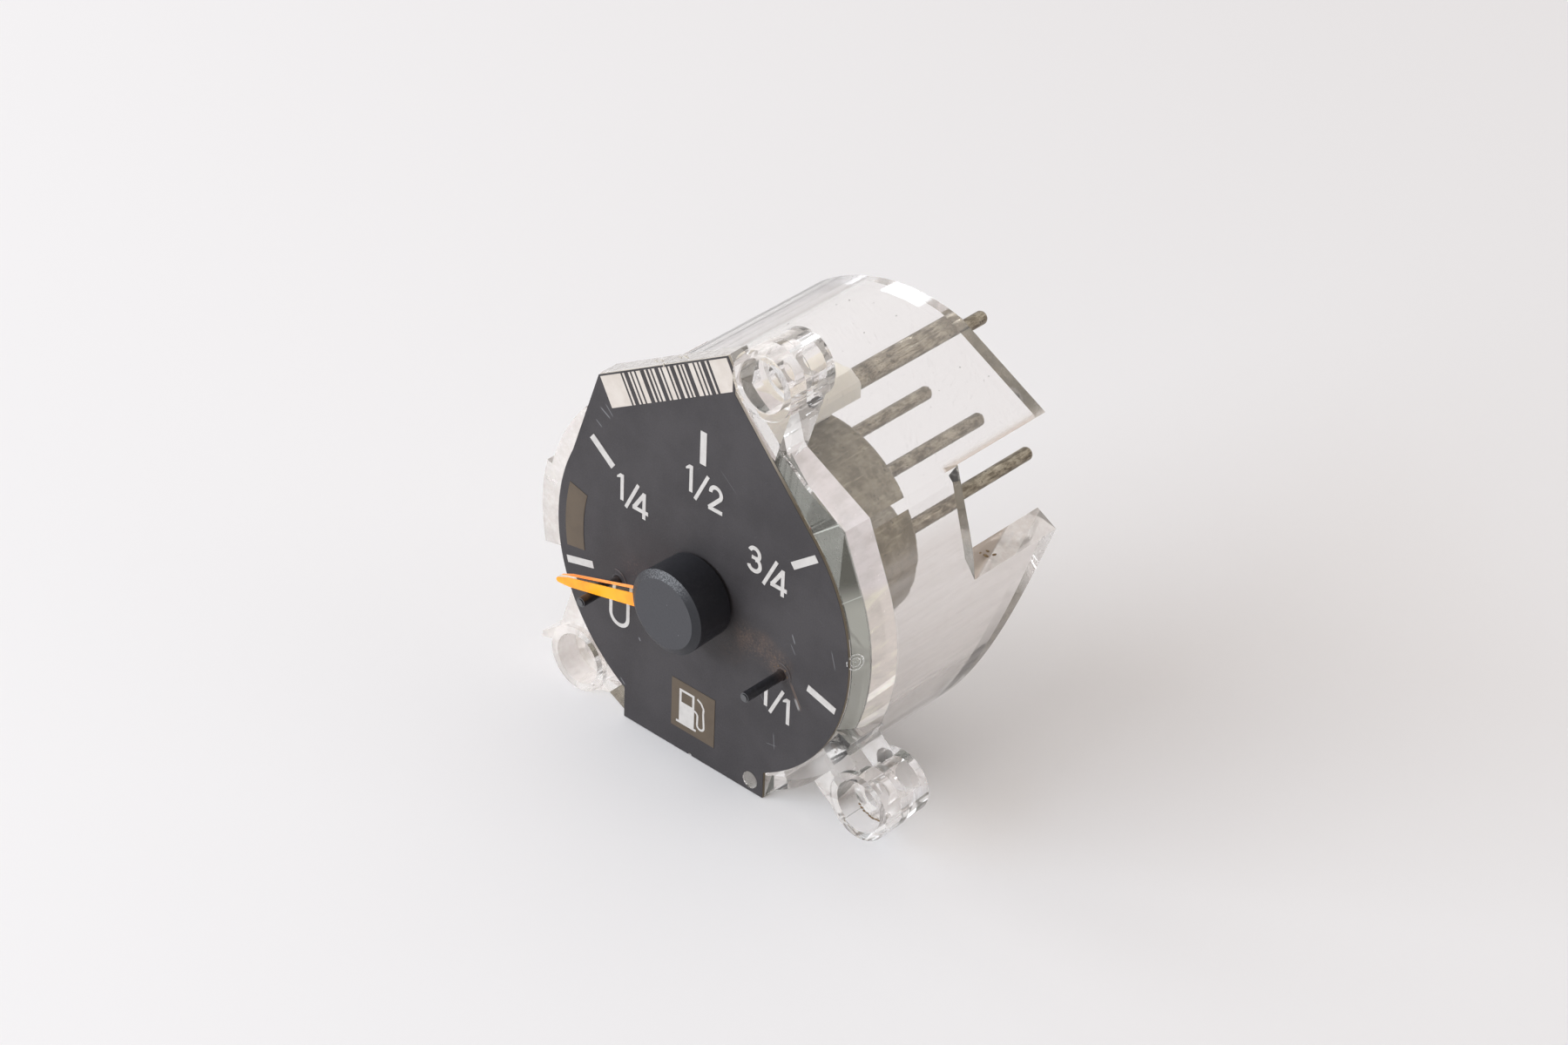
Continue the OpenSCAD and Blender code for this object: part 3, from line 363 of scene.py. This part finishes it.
def cap_black():
    """Black sides, a greyer front face, pale scuffs with a painted highlight on the chamfer's top, painted shade
    on its right side, and a few pale dots.
    """
    p = Paint("cap_black")
    grain = p.noise(3.2, 3, 0.7)
    front = p.facing(y=-1)
    base = p.two_tone(front, 0.85, 0.97, srgb(33, 33, 38), srgb(64, 64, 68))
    base = p.mix(p.mul(p.ramp(grain, 0.4, 0.8), 0.35), base, srgb(62, 62, 66))
    chamfer = p.band(front, (0.45, 0.6), (0.8, 0.92))
    # pale scuffs with a painted highlight: they lie only on the chamfer's top
    highlit_top = p.ramp(p.facing(x=-0.05, z=1), 0.30, 0.62)
    scuffs = p.ramp(p.noise(5.0, 3, 0.8), 0.44, 0.58)
    base = p.mix(p.mul(chamfer, highlit_top, scuffs, 0.9), base, srgb(150, 150, 154))
    # painted shade on the chamfer's right side
    right_shade = p.ramp(p.facing(x=1, z=0.2), 0.30, 0.5)
    base = p.mix(p.mul(chamfer, right_shade, 0.5), base, srgb(44, 46, 50))
    dots = p.mul(p.fall(p.cells(0.7), 0.04, 0.07), p.ramp(p.noise(0.5), 0.55, 0.6))
    base = p.mix(p.mul(dots, 0.7), base, srgb(140, 140, 144))
    return p.done(p.principled(color=base, rough=p.ramp(grain, 0.3, 0.7, 0.38, 0.52),
                               normal=p.bump(grain, 0.25, 0.00005), spec=0.4))


def stop_black():
    """Black, with a greyer end face and brown dust at the foot."""
    p = Paint("stop_black")
    grain = p.noise(2.4, 3, 0.7)
    base = p.two_tone(grain, 0.35, 0.65, srgb(27, 27, 31), srgb(40, 40, 45))
    base = p.mix(p.ramp(p.facing(y=-1), 0.8, 0.95), base, srgb(84, 84, 86))
    foot = p.mul(p.ramp(p.axes()[1], -2.4, -0.2), p.ramp(grain, 0.3, 0.7, 0.3, 0.8))
    base = p.mix(foot, base, srgb(84, 72, 68))
    return p.done(p.principled(color=base, rough=p.ramp(grain, 0.3, 0.7, 0.36, 0.5), normal=p.bump(grain, 0.2)))


def tinned(name, dark, light, stretch, grain, metal, rough):
    """Dull tinned metal: mottled, stained and pitted, with faint drawing lines, and painted shade along two sides.
    """
    p = Paint(name)
    cloud = p.noise(grain, 4, 0.72, p.turned(scale=stretch))
    stain = p.noise(0.3, 3, 0.6)
    drawn = p.noise(2.6, 2, 0.6, p.turned(scale=(1.0, 0.1, 1.0)))
    pits = p.mul(p.fall(p.cells(1.0), 0.1, 0.24), p.ramp(p.noise(0.7, 3, 0.6), 0.46, 0.56))
    color = p.two_tone(cloud, 0.36, 0.64, dark, light)
    # painted shade along the top left and the bottom right sides
    painted_shade_sides = p.most(p.ramp(p.facing(x=-0.72, z=0.69), 0.35, 0.95), p.ramp(p.facing(x=0.72, z=-0.69), 0.5, 0.95))
    for zone, tone, factor in ((p.mul(painted_shade_sides, 0.5), dark, 0.55), (p.mul(p.ramp(stain, 0.45, 0.7), 0.3), dark, 0.8),
                               (p.mul(p.ramp(drawn, 0.56, 0.72), 0.5), light, 1.5),
                               (p.mul(pits, 0.65), dark, 0.35)):
        color = p.mix(zone, color, tuple(min(1, c * factor) for c in tone))
    height = p.math("SUBTRACT", p.math("ADD", cloud, p.mul(drawn, 0.25)), p.mul(pits, 0.8))
    return p.done(p.principled(color=color, rough=p.ramp(cloud, 0.3, 0.7, rough + 0.1, rough - 0.1), metal=metal,
                               normal=p.bump(height, 0.5, 0.00012)))


def milky():
    """The terminal carrier's cloudy white plastic."""
    p = Paint("carrier_milky")
    cloud = p.noise(0.2, 3, 0.6)
    return p.done(p.principled(color=p.mix(cloud, srgb(222, 218, 206), srgb(236, 233, 224)), rough=0.38,
                               normal=p.bump(cloud, 0.1), sss=0.6, sss_scale=0.003, sss_radius=(1.0, 0.9, 0.8)))


def clear_bar():
    """The pointer's clear bar. A low index keeps the thin bar between its two foils free of noise."""
    p = Paint("pointer_clear")
    cloud = p.noise(0.7, 3, 0.6)
    body = p.principled(color=(1.0, 0.9, 0.74), rough=p.ramp(cloud, 0.3, 0.7, 0.02, 0.12), trans=1.0, ior=1.07)
    return p.done(clear_shader(p, body, (1.0, 0.88, 0.72)))


def foil():
    """Bright orange in front with a yellower patch, and a paler strip behind, with a faint painted glow."""
    p = Paint("pointer_orange")
    cloud = p.noise(0.5, 3, 0.6)
    front = p.two_tone(cloud, 0.35, 0.65, srgb(255, 150, 26), srgb(255, 166, 34))
    front = p.mix(p.mul(p.near(-12.5, -6.2, -3.6, 0.6, 4.5), 0.6), front, srgb(255, 182, 20))
    color = p.two_tone(p.axes()[1], -5.6, -5.45, front, srgb(255, 172, 104))
    # a faint painted glow in the foil's own colour
    return p.done(p.principled(color=color, rough=p.ramp(cloud, 0.3, 0.7, 0.3, 0.45), glow=color,
                               glow_power=0.12, normal=p.bump(cloud, 0.1)))


FINISH = {
    "clear_acrylic": acrylic(),
    "dial_board": board(),
    "dial_charcoal": charcoal(),
    "print_white": plain("print_white", srgb(196, 192, 189), srgb(206, 202, 199), 0.5, 0.9),
    "window_brown": plain("window_brown", srgb(85, 72, 58), srgb(93, 80, 65), 0.4),
    "code_cream": plain("code_cream", srgb(203, 193, 184), srgb(213, 204, 196), 0.5),
    "code_dark": plain("code_dark", srgb(44, 40, 42), srgb(56, 52, 54), 0.5),
    "stop_black": stop_black(),
    "cap_black": cap_black(),
    "pointer_clear": clear_bar(),
    "pointer_orange": foil(),
    "bush_brass": plain("bush_brass", (0.6, 0.45, 0.2), (0.66, 0.5, 0.24), 0.35, metal=1.0),
    "spindle_steel": plain("spindle_steel", (0.5, 0.5, 0.51), (0.6, 0.6, 0.61), 0.3, metal=1.0),
    "magnet_black": plain("magnet_black", (0.05, 0.05, 0.055), (0.08, 0.08, 0.085), 0.6),
    "bobbin_white": plain("bobbin_white", (0.74, 0.72, 0.66), (0.82, 0.8, 0.74), 0.5),
    "coil_copper": plain("coil_copper", (0.5, 0.2, 0.08), (0.6, 0.25, 0.1), 0.35, metal=1.0),
    "carrier_milky": milky(),
    "can_tinned": tinned("can_tinned", srgb(125, 116, 97), srgb(158, 148, 127), (1.0, 1.0, 1.0), 0.55, 0.3, 0.5),
    "screw_steel": plain("screw_steel", (0.45, 0.45, 0.45), (0.56, 0.56, 0.56), 0.35, metal=1.0),
    "pin_tinned": tinned("pin_tinned", srgb(112, 101, 85), srgb(182, 172, 153), (1.0, 0.4, 1.0), 1.1, 0.6, 0.36),
}
for part in frame["record"]["subparts"]:
    mesh = nodes[part["node"]].data
    mesh.materials.clear()
    mesh.materials.append(FINISH[part["material_slot"]])


def crumb_brown():
    """Dry brown dirt."""
    p = Paint("crumb_brown")
    grain = p.noise(5.0, 3, 0.7)
    return p.done(p.principled(color=p.two_tone(grain, 0.35, 0.65, srgb(92, 72, 48), srgb(150, 126, 92)), rough=0.85,
                               normal=p.bump(grain, 0.5)))


# ---------------------------------------------------------------- shape helpers
def add_piece(name, points, faces, material, slot):
    """A mesh piece on the housing, from points in millimetres."""
    data = bpy.data.meshes.new(name)
    data.from_pydata([spot(*v) for v in points], [], faces)
    data.materials.append(material)
    for face in data.polygons:
        face.use_smooth = True
    obj = bpy.data.objects.new(name, data)
    scene.collection.objects.link(obj)
    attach(obj, "housing")
    return obj


def turned_ring(at, axis, outline, steps=40):
    """Points and faces of a closed outline of (radius, height) pairs, turned round an axis at a point."""
    axis = Vector(axis).normalized()
    across = axis.orthogonal().normalized()
    other = axis.cross(across)
    points, faces, n = [], [], len(outline)
    for i in range(steps):
        a = 2 * math.pi * i / steps
        out = across * math.cos(a) + other * math.sin(a)
        points += [Vector(at) + out * r + axis * h for r, h in outline]
    for i in range(steps):
        this, following = i * n, (i + 1) % steps * n
        faces += [(this + k, this + (k + 1) % n, following + (k + 1) % n, following + k) for k in range(n)]
    return points, faces


LUMP_GROWTH = (0.72, 1.15)  # least and most length of a lump's corners, as a share of its half sizes


def crumbs(name, spots, material, slot, seed):
    """Small lumps of dirt, each given by its middle and its three half sizes."""
    rng = random.Random(seed)
    points, faces = [], []
    for middle, half in spots:
        lump = bmesh.new()
        bmesh.ops.create_icosphere(lump, subdivisions=2, radius=1.0)
        base = len(points)
        for v in lump.verts:
            grow = rng.uniform(*LUMP_GROWTH)
            points.append([middle[i] + v.co[i] * half[i] * grow for i in range(3)])
        faces += [tuple(base + v.index for v in f.verts) for f in lump.faces]
        lump.free()
    return add_piece(name, points, faces, material, slot)


def arc_lip(at, radius, start, end, half, rise):
    """A lip along an arc on the dial, thick in its middle and running out at both ends."""
    steps, ring = 36, 8
    sunk, thin_end = 0.05, 0.12
    points, faces = [], []
    for i in range(steps + 1):
        t = i / steps
        a = math.radians(start + (end - start) * t)
        thick = thin_end + (1 - thin_end) * math.sin(math.pi * t) ** 0.7
        for k in range(ring):
            b = 2 * math.pi * k / ring
            r = radius + half * thick * math.cos(b)
            depth = -0.01 - rise * thick * max(0.0, math.sin(b)) + sunk * (math.sin(b) < 0)
            points.append((at[0] + r * math.cos(a), depth, at[1] + r * math.sin(a)))
    for i in range(steps):
        this, following = i * ring, (i + 1) * ring
        for k in range(ring):
            k2 = (k + 1) % ring
            faces.append((this + k, this + k2, following + k2, following + k))
    faces += [tuple(range(ring)), tuple(range(steps * ring, (steps + 1) * ring))]
    return points, faces


def prisms(name, outlines, y0, y1, material, slot):
    """Flat plates between two depths, each from an outline of (x, z) corners."""
    points, faces = [], []
    for outline in outlines:
        base, n = len(points), len(outline)
        points += [(x, y0, z) for x, z in outline] + [(x, y1, z) for x, z in outline]
        faces += [tuple(base + k for k in range(n)), tuple(base + n + k for k in reversed(range(n)))]
        faces += [(base + k, base + (k + 1) % n, base + n + (k + 1) % n, base + n + k) for k in range(n)]
    piece = add_piece(name, points, faces, material, slot)
    for face in piece.data.polygons:
        face.use_smooth = False
    fix = bmesh.new()
    fix.from_mesh(piece.data)
    bmesh.ops.recalc_face_normals(fix, faces=fix.faces)
    fix.to_mesh(piece.data)
    fix.free()
    return piece


# ---------------------------------------------------------------- the code strip
# It lies under the sloped top edge, with a plain rhythm of bars that spells nothing
STRIP_AT, STRIP_TILT, STRIP_W = Vector((-17.18, 22.395)), math.radians(30), 4.75
STRIP = [(0, 0), (25.55, 0), (26.8, 2.16), (26.8, STRIP_W), (0, STRIP_W)]
STRIP_FACE, BAR_FACE = -0.055, -0.06
BARS_FROM, BAR_COUNT = 4.4, 18
THIN_BAR, MID_BAR, THICK_BAR = 0.36, 0.5, 0.85
THIN_GAP, MID_GAP, WIDE_GAP = 0.4, 0.55, 0.9


def on_strip(along, across):
    return (STRIP_AT.x + along * math.cos(STRIP_TILT) - across * math.sin(STRIP_TILT),
            STRIP_AT.y + along * math.sin(STRIP_TILT) + across * math.cos(STRIP_TILT))


bars, bar_at = [], BARS_FROM
for k in range(BAR_COUNT):
    bar_to = bar_at + (THICK_BAR if k % 3 == 1 else MID_BAR if k % 6 == 5 else THIN_BAR)
    bars.append([on_strip(*c) for c in ((bar_at, 0), (bar_to, 0), (bar_to, STRIP_W), (bar_at, STRIP_W))])
    bar_at = bar_to + (WIDE_GAP if k % 5 == 3 else MID_GAP if k % 4 == 2 else THIN_GAP)
strip_print = prisms("code_strip_print", [[on_strip(*c) for c in STRIP]], STRIP_FACE, 0.0, FINISH["code_cream"],
                     "code_cream")
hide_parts("code_strip")
bars_print = prisms("code_bars_print", bars, BAR_FACE, 0.0, FINISH["code_dark"], "code_dark")
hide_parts("code_bars")


# ---------------------------------------------------------------- the clear body
# It is the CAD node's mesh with a roof panel that is thicker inside, and with broken edges
def outward(degrees):
    """A direction across the spindle, counted from x towards z."""
    return Vector((math.cos(math.radians(degrees)), 0, math.sin(math.radians(degrees))))


ROOF_OUT, CHEEK_OUT = outward(62.7), outward(23)
CHEEK_ALONG = Vector((-CHEEK_OUT.z, 0, CHEEK_OUT.x))
# Distances of the panel's and the cheek's insides from the spindle, and what is added to the panel's thickness
ROOF_IN, CHEEK_IN, ROOF_THICKER = 26.3, 27.0, 0.9
INNER_R, PLATE_REAR = 29.0, 7.1  # the inside lies within this radius, behind the plate
SAME_POINT = 2e-6  # metres between points that are one corner
SMOOTH_TO = math.radians(4)  # a CAD edge whose normals turn more than this is sharp
SHARP_FROM = math.radians(8)  # an edge of the moved panel that turns more than this is sharp
FLAT_TO = math.radians(0.6)  # faces that turn less than this from one to the next become one
BROKEN_EDGE, BROKEN_FROM = 0.00014, math.radians(32)  # metres, and the least turn of an edge that is broken


def key_of(co):
    """A point's coordinates in whole tenths of a micrometre."""
    return tuple(round(c * 1e7) for c in co)


def creased(mesh):
    """The edges at which a CAD mesh's own normals break, each as the keys of its two ends."""
    found = {}
    for poly in mesh.polygons:
        loops = list(poly.loop_indices)
        for pair in zip(loops, loops[1:] + loops[:1]):
            ends = {key_of(mesh.vertices[mesh.loops[i].vertex_index].co): mesh.corner_normals[i].vector
                    for i in pair}
            found.setdefault(frozenset(ends), []).append(ends)
    return {edge for edge, both in found.items()
            if len(both) != 2 or any(both[0][end].dot(both[1][end]) < math.cos(SMOOTH_TO) for end in edge)}


def thicken_roof(body):
    """Moves the inside of the roof's flat panel inwards. Returns the points moved."""
    moved = set()
    for v in body.verts:
        place = (v.co - AXIS) * MM
        over = place.dot(ROOF_OUT) - (ROOF_IN - ROOF_THICKER)
        if over > 0 and math.hypot(place.x, place.z) < INNER_R and place.y > PLATE_REAR:
            moved.add(v)
            if place.dot(CHEEK_OUT) > CHEEK_IN - 0.05:
                # a corner that the panel shares with the cheek below it slides along the cheek
                v.co -= CHEEK_ALONG * over / CHEEK_ALONG.dot(ROOF_OUT) / MM
            else:
                v.co -= ROOF_OUT * over / MM
    return moved


def clear_body(cad_mesh):
    """The clear body's mesh, closed, with its sharp edges marked."""
    sharp = creased(cad_mesh)
    body = bmesh.new()
    body.from_mesh(cad_mesh)
    bmesh.ops.remove_doubles(body, verts=body.verts, dist=SAME_POINT)
    for edge in body.edges:
        edge.smooth = frozenset(key_of(v.co) for v in edge.verts) not in sharp
    moved = thicken_roof(body)
    body.normal_update()
    for edge in body.edges:
        if moved.intersection(edge.verts) and edge.calc_face_angle(0) > SHARP_FROM:
            edge.smooth = False
    for face in body.faces:
        face.smooth = True
    bmesh.ops.dissolve_limit(body, angle_limit=FLAT_TO, verts=body.verts, edges=body.edges)
    mesh = bpy.data.meshes.new("light_guide_clear")
    body.to_mesh(mesh)
    body.free()
    # the CAD's own normals no longer fit the changed mesh
    if "custom_normal" in mesh.attributes:
        mesh.attributes.remove(mesh.attributes["custom_normal"])
    mesh.materials.clear()
    mesh.materials.append(FINISH["clear_acrylic"])
    return mesh


guide = bpy.data.objects.new("light_guide_clear", clear_body(nodes["light_guide"].data))
scene.collection.objects.link(guide)
broken = guide.modifiers.new("broken_edges", "BEVEL")
broken.width = BROKEN_EDGE
broken.segments = 2
broken.limit_method = "ANGLE"
broken.angle_limit = BROKEN_FROM
settle = guide.modifiers.new("face_normals", "WEIGHTED_NORMAL")
settle.keep_sharp = True
settle.weight = 80
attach(guide, "housing")
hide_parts("light_guide")

# ---------------------------------------------------------------- the dial round the stop pins
# It is drawn up round them: a collar fills each pin's hole, with a torn lip on its right, black as painted shade
STOPS = {"left": (-15.64, -5.86), "right": (15.64, -5.86)}  # x, z
COLLAR = [(0.755, 0.0), (1.145, 0.0), (1.145, 0.46), (0.755, 0.46)]  # radius, depth
LIP_ASIDE, LIP_R, LIP_FROM, LIP_TO, LIP_HALF, LIP_RISE = 0.14, 1.84, 108, -18, 0.15, 0.12
for hand, (x, z) in STOPS.items():
    add_piece("stop_collar_" + hand, *turned_ring((x, 0, z), (0, 1, 0), COLLAR), FINISH["dial_charcoal"],
              "dial_charcoal")
    add_piece("stop_shade_lip_" + hand, *arc_lip((x - LIP_ASIDE, z), LIP_R, LIP_FROM, LIP_TO, LIP_HALF, LIP_RISE),
              FINISH["stop_black"], "stop_black")

# ---------------------------------------------------------------- the moulding mark on the bevel
# Two fine rings and a raised middle, flush with the bevel's slope
CRUMB = crumb_brown()
MARK = plain("moulding_mark", srgb(222, 224, 220), srgb(240, 242, 240), 0.12, 1.5, trans=0.6)
MARK_AT = Vector((27.74, 1.13, 2.0))
MARK_OUT = Vector((0.90, -0.43, 0.05))
MARK_RINGS = {"outer": (1.22, 0.1), "inner": (0.72, 0.08)}  # radius and half width
DOME = [(0.02, 0.10), (0.14, 0.08), (0.24, 0.02), (0.26, -0.05), (0.02, -0.05)]  # radius, height
for ring_name, (radius, wide) in MARK_RINGS.items():
    outline = [(radius + wide * math.cos(a), wide * math.sin(a)) for a in [k * math.pi / 4 for k in range(8)]]
    add_piece("bevel_ring_" + ring_name, *turned_ring(MARK_AT, MARK_OUT, outline), MARK, "clear_acrylic")
add_piece("bevel_ring_middle", *turned_ring(MARK_AT, MARK_OUT, DOME, 24), MARK, "clear_acrylic")

# ---------------------------------------------------------------- dirt: middles and half sizes of the lumps
# Flakes lifted off the dial's top edge
crumbs("edge_flakes", [((-3.9, 0.25, 36.55), (0.55, 0.2, 0.1)), ((-4.9, 0.3, 36.0), (0.35, 0.16, 0.08)),
                       ((-8.2, 0.2, 34.05), (0.3, 0.2, 0.14)), ((-7.7, 0.05, 33.6), (0.16, 0.16, 0.4)),
                       ((-9.4, 0.3, 33.4), (0.4, 0.14, 0.08))],
       FINISH["dial_board"], "dial_board", 13)

# Brown dirt in the notch, in the right screw cup and round the right stop pin
crumbs("notch_dirt", [((28.1, 27.4, 6.75), (0.5, 0.28, 0.12)), ((27.7, 28.2, 6.95), (0.32, 0.2, 0.12)),
                      ((28.6, 28.6, 6.6), (0.25, 0.4, 0.1)), ((27.4, 27.0, 7.1), (0.18, 0.2, 0.1))],
       CRUMB, "window_brown", 3)
CUP_AT, CUP_R = (30.8, 3.2, -20.2), 3.9
cup = []
for k in range(9):
    a = math.radians(228 + 8 * k)
    cup.append(((CUP_AT[0] + CUP_R * math.cos(a), CUP_AT[1] - 0.05 * (k % 3), CUP_AT[2] + CUP_R * math.sin(a)),
                (0.28 + 0.1 * (k % 2), 0.14, 0.1 + 0.03 * (k % 3))))
crumbs("cup_dirt", cup, CRUMB, "window_brown", 5)
crumbs("stop_dirt", [((15.0, -0.01, -4.7), (0.16, 0.05, 0.1)), ((16.3, -0.01, -4.9), (0.12, 0.05, 0.16)),
                     ((16.7, -0.01, -5.8), (0.08, 0.05, 0.2)), ((15.3, -0.01, -7.1), (0.14, 0.04, 0.08)),
                     ((14.3, -0.01, -5.2), (0.1, 0.05, 0.1)), ((14.2, -0.01, -3.6), (0.1, 0.04, 0.06))],
       CRUMB, "window_brown", 7)

# Black specks on the clear top
TOP_SPECKS = [(1.97, 36.71, 29.98), (1.79, 30.16, 29.95), (13.17, 37.58, 26.16), (16.02, 40.52, 24.69),
              (-6.58, 33.75, 29.27), (-5.94, 35.77, 29.41), (-2.59, 37.11, 29.88), (-8.28, 25.7, 28.83)]
crumbs("top_specks", [(at, (0.07 + 0.02 * (k % 3), 0.1 + 0.04 * (k % 2), 0.05)) for k, at in enumerate(TOP_SPECKS)],
       FINISH["stop_black"], "stop_black", 11)

# ---------------------------------------------------------------- floor
floor_paint = Paint("floor_pale")
tone = floor_paint.mix(floor_paint.noise(0.003, 2, 0.5), srgb(239, 238, 240), srgb(243, 242, 244))
floor_mesh = bpy.data.meshes.new("floor")
floor_mesh.from_pydata([(-4, -4, 0), (4, -4, 0), (4, 6, 0), (-4, 6, 0)], [], [(0, 1, 2, 3)])
floor = bpy.data.objects.new("floor", floor_mesh)
floor_mesh.materials.append(floor_paint.done(floor_paint.principled(color=tone, rough=0.8, spec=0.2)))
scene.collection.objects.link(floor)

# ---------------------------------------------------------------- lamps: place, size, power, colour; metres, watts
LAMPS = {"key": ((-0.668, -1.157, 0.681), (1.4, 0.5), 16.6, (0.925, 1.01, 1.085)),
         "left": ((-1.16, -0.12, 0.93), (0.6, 0.5), 2.8, (0.97, 1.0, 1.03)),
         "right": ((0.95, 0.40, 0.75), (0.7, 0.7), 1.2, (1.0, 1.0, 1.0))}
LAMPS_AIM = Vector((0, 0, 0.02))
for lamp_name, (place, size, power, colour) in LAMPS.items():
    light = bpy.data.lights.new(lamp_name, "AREA")
    light.shape = "RECTANGLE"
    light.size, light.size_y = size
    light.energy = power
    light.color = colour
    lamp = bpy.data.objects.new(lamp_name, light)
    lamp.location = place
    lamp.rotation_mode = "QUATERNION"
    lamp.rotation_quaternion = (LAMPS_AIM - Vector(place)).to_track_quat("-Z", "Y")
    scene.collection.objects.link(lamp)

# ---------------------------------------------------------------- the studio round the part
# It is brighter above and to the left, greyer low down and to the right. The camera and clear and shiny surfaces
# see the pale backdrop; the light it sheds is lower and warmer
BRIGHT_WAY, LEAN_DARK, LEAN_BRIGHT = (-0.45, -0.1, 0.85), -0.4, 0.95
SHED_LIGHT, BACKDROP = (0.23, 0.74), (0.66, 0.97)  # strength, from the greyest to the brightest direction
SHED_CAST = (1.0, 0.93, 0.87)
BACKDROP_LOW, BACKDROP_HIGH = (1.0, 0.955, 0.935), (0.985, 0.99, 1.0)
world = bpy.data.worlds.new("studio")
world.use_nodes = True
scene.world = world
tree = world.node_tree


way = tree.nodes.new("ShaderNodeTexCoord").outputs["Generated"]
lean = add_node(tree, "ShaderNodeVectorMath", {0: way, 1: BRIGHT_WAY}, operation="DOT_PRODUCT").outputs["Value"]


def shade(low, high):
    """From low to high as a direction turns towards the bright side."""
    return add_node(tree, "ShaderNodeMapRange", {"Value": lean, "From Min": LEAN_DARK, "From Max": LEAN_BRIGHT,
                                                 "To Min": low, "To Max": high}).outputs[0]


rays = tree.nodes.new("ShaderNodeLightPath").outputs
seen = add_node(tree, "ShaderNodeMath", {0: rays["Is Glossy Ray"], 1: rays["Is Transmission Ray"]},
                operation="MAXIMUM").outputs[0]
seen = add_node(tree, "ShaderNodeMath", {0: seen, 1: rays["Is Camera Ray"]}, operation="MAXIMUM").outputs[0]
strength = add_node(tree, "ShaderNodeMix", {0: seen, 2: shade(*SHED_LIGHT), 3: shade(*BACKDROP)}).outputs[0]
backdrop = add_node(tree, "ShaderNodeMix", {0: shade(0.0, 1.0), 6: (*BACKDROP_LOW, 1), 7: (*BACKDROP_HIGH, 1)},
                    data_type="RGBA").outputs[2]
cast = add_node(tree, "ShaderNodeMix", {0: seen, 6: (*SHED_CAST, 1), 7: backdrop}, data_type="RGBA").outputs[2]
background = tree.nodes["Background"].inputs
feed(tree, background["Strength"], strength)
feed(tree, background["Color"], cast)

# ---------------------------------------------------------------- camera, fitted to the photograph's dial
AZIMUTH, ELEVATION, ROLL = math.radians(41.16), math.radians(34.32), math.radians(2.43)
DISTANCE = 580.6
FRAME_PX, FOCAL_PX, SENSOR = (1800, 1200), 4831.0, 36
DIAL_PX = (802.94, 680.67)  # where the pointer's axis meets the dial in the picture
PX_TO_MM = DISTANCE / FOCAL_PX
back = Vector((math.sin(AZIMUTH) * math.cos(ELEVATION), -math.cos(AZIMUTH) * math.cos(ELEVATION),
               math.sin(ELEVATION)))
level = Vector((math.cos(AZIMUTH), math.sin(AZIMUTH), 0))
upright = back.cross(level)
right = level * math.cos(ROLL) + upright * math.sin(ROLL)
up = upright * math.cos(ROLL) - level * math.sin(ROLL)
aside = (DIAL_PX[0] - FRAME_PX[0] / 2) * PX_TO_MM
above = (FRAME_PX[1] / 2 - DIAL_PX[1]) * PX_TO_MM
lens = bpy.data.cameras.new("camera")
lens.sensor_width = SENSOR
lens.lens = FOCAL_PX * SENSOR / FRAME_PX[0]
lens.clip_start, lens.clip_end = 0.01, 50
camera = bpy.data.objects.new("camera", lens)
camera.matrix_world = (Matrix.Translation(spot(*(back * DISTANCE - right * aside - up * above)))
                       @ Matrix((right, up, back)).transposed().to_4x4())
scene.collection.objects.link(camera)
scene.camera = camera
scene.view_settings.view_transform = "Standard"
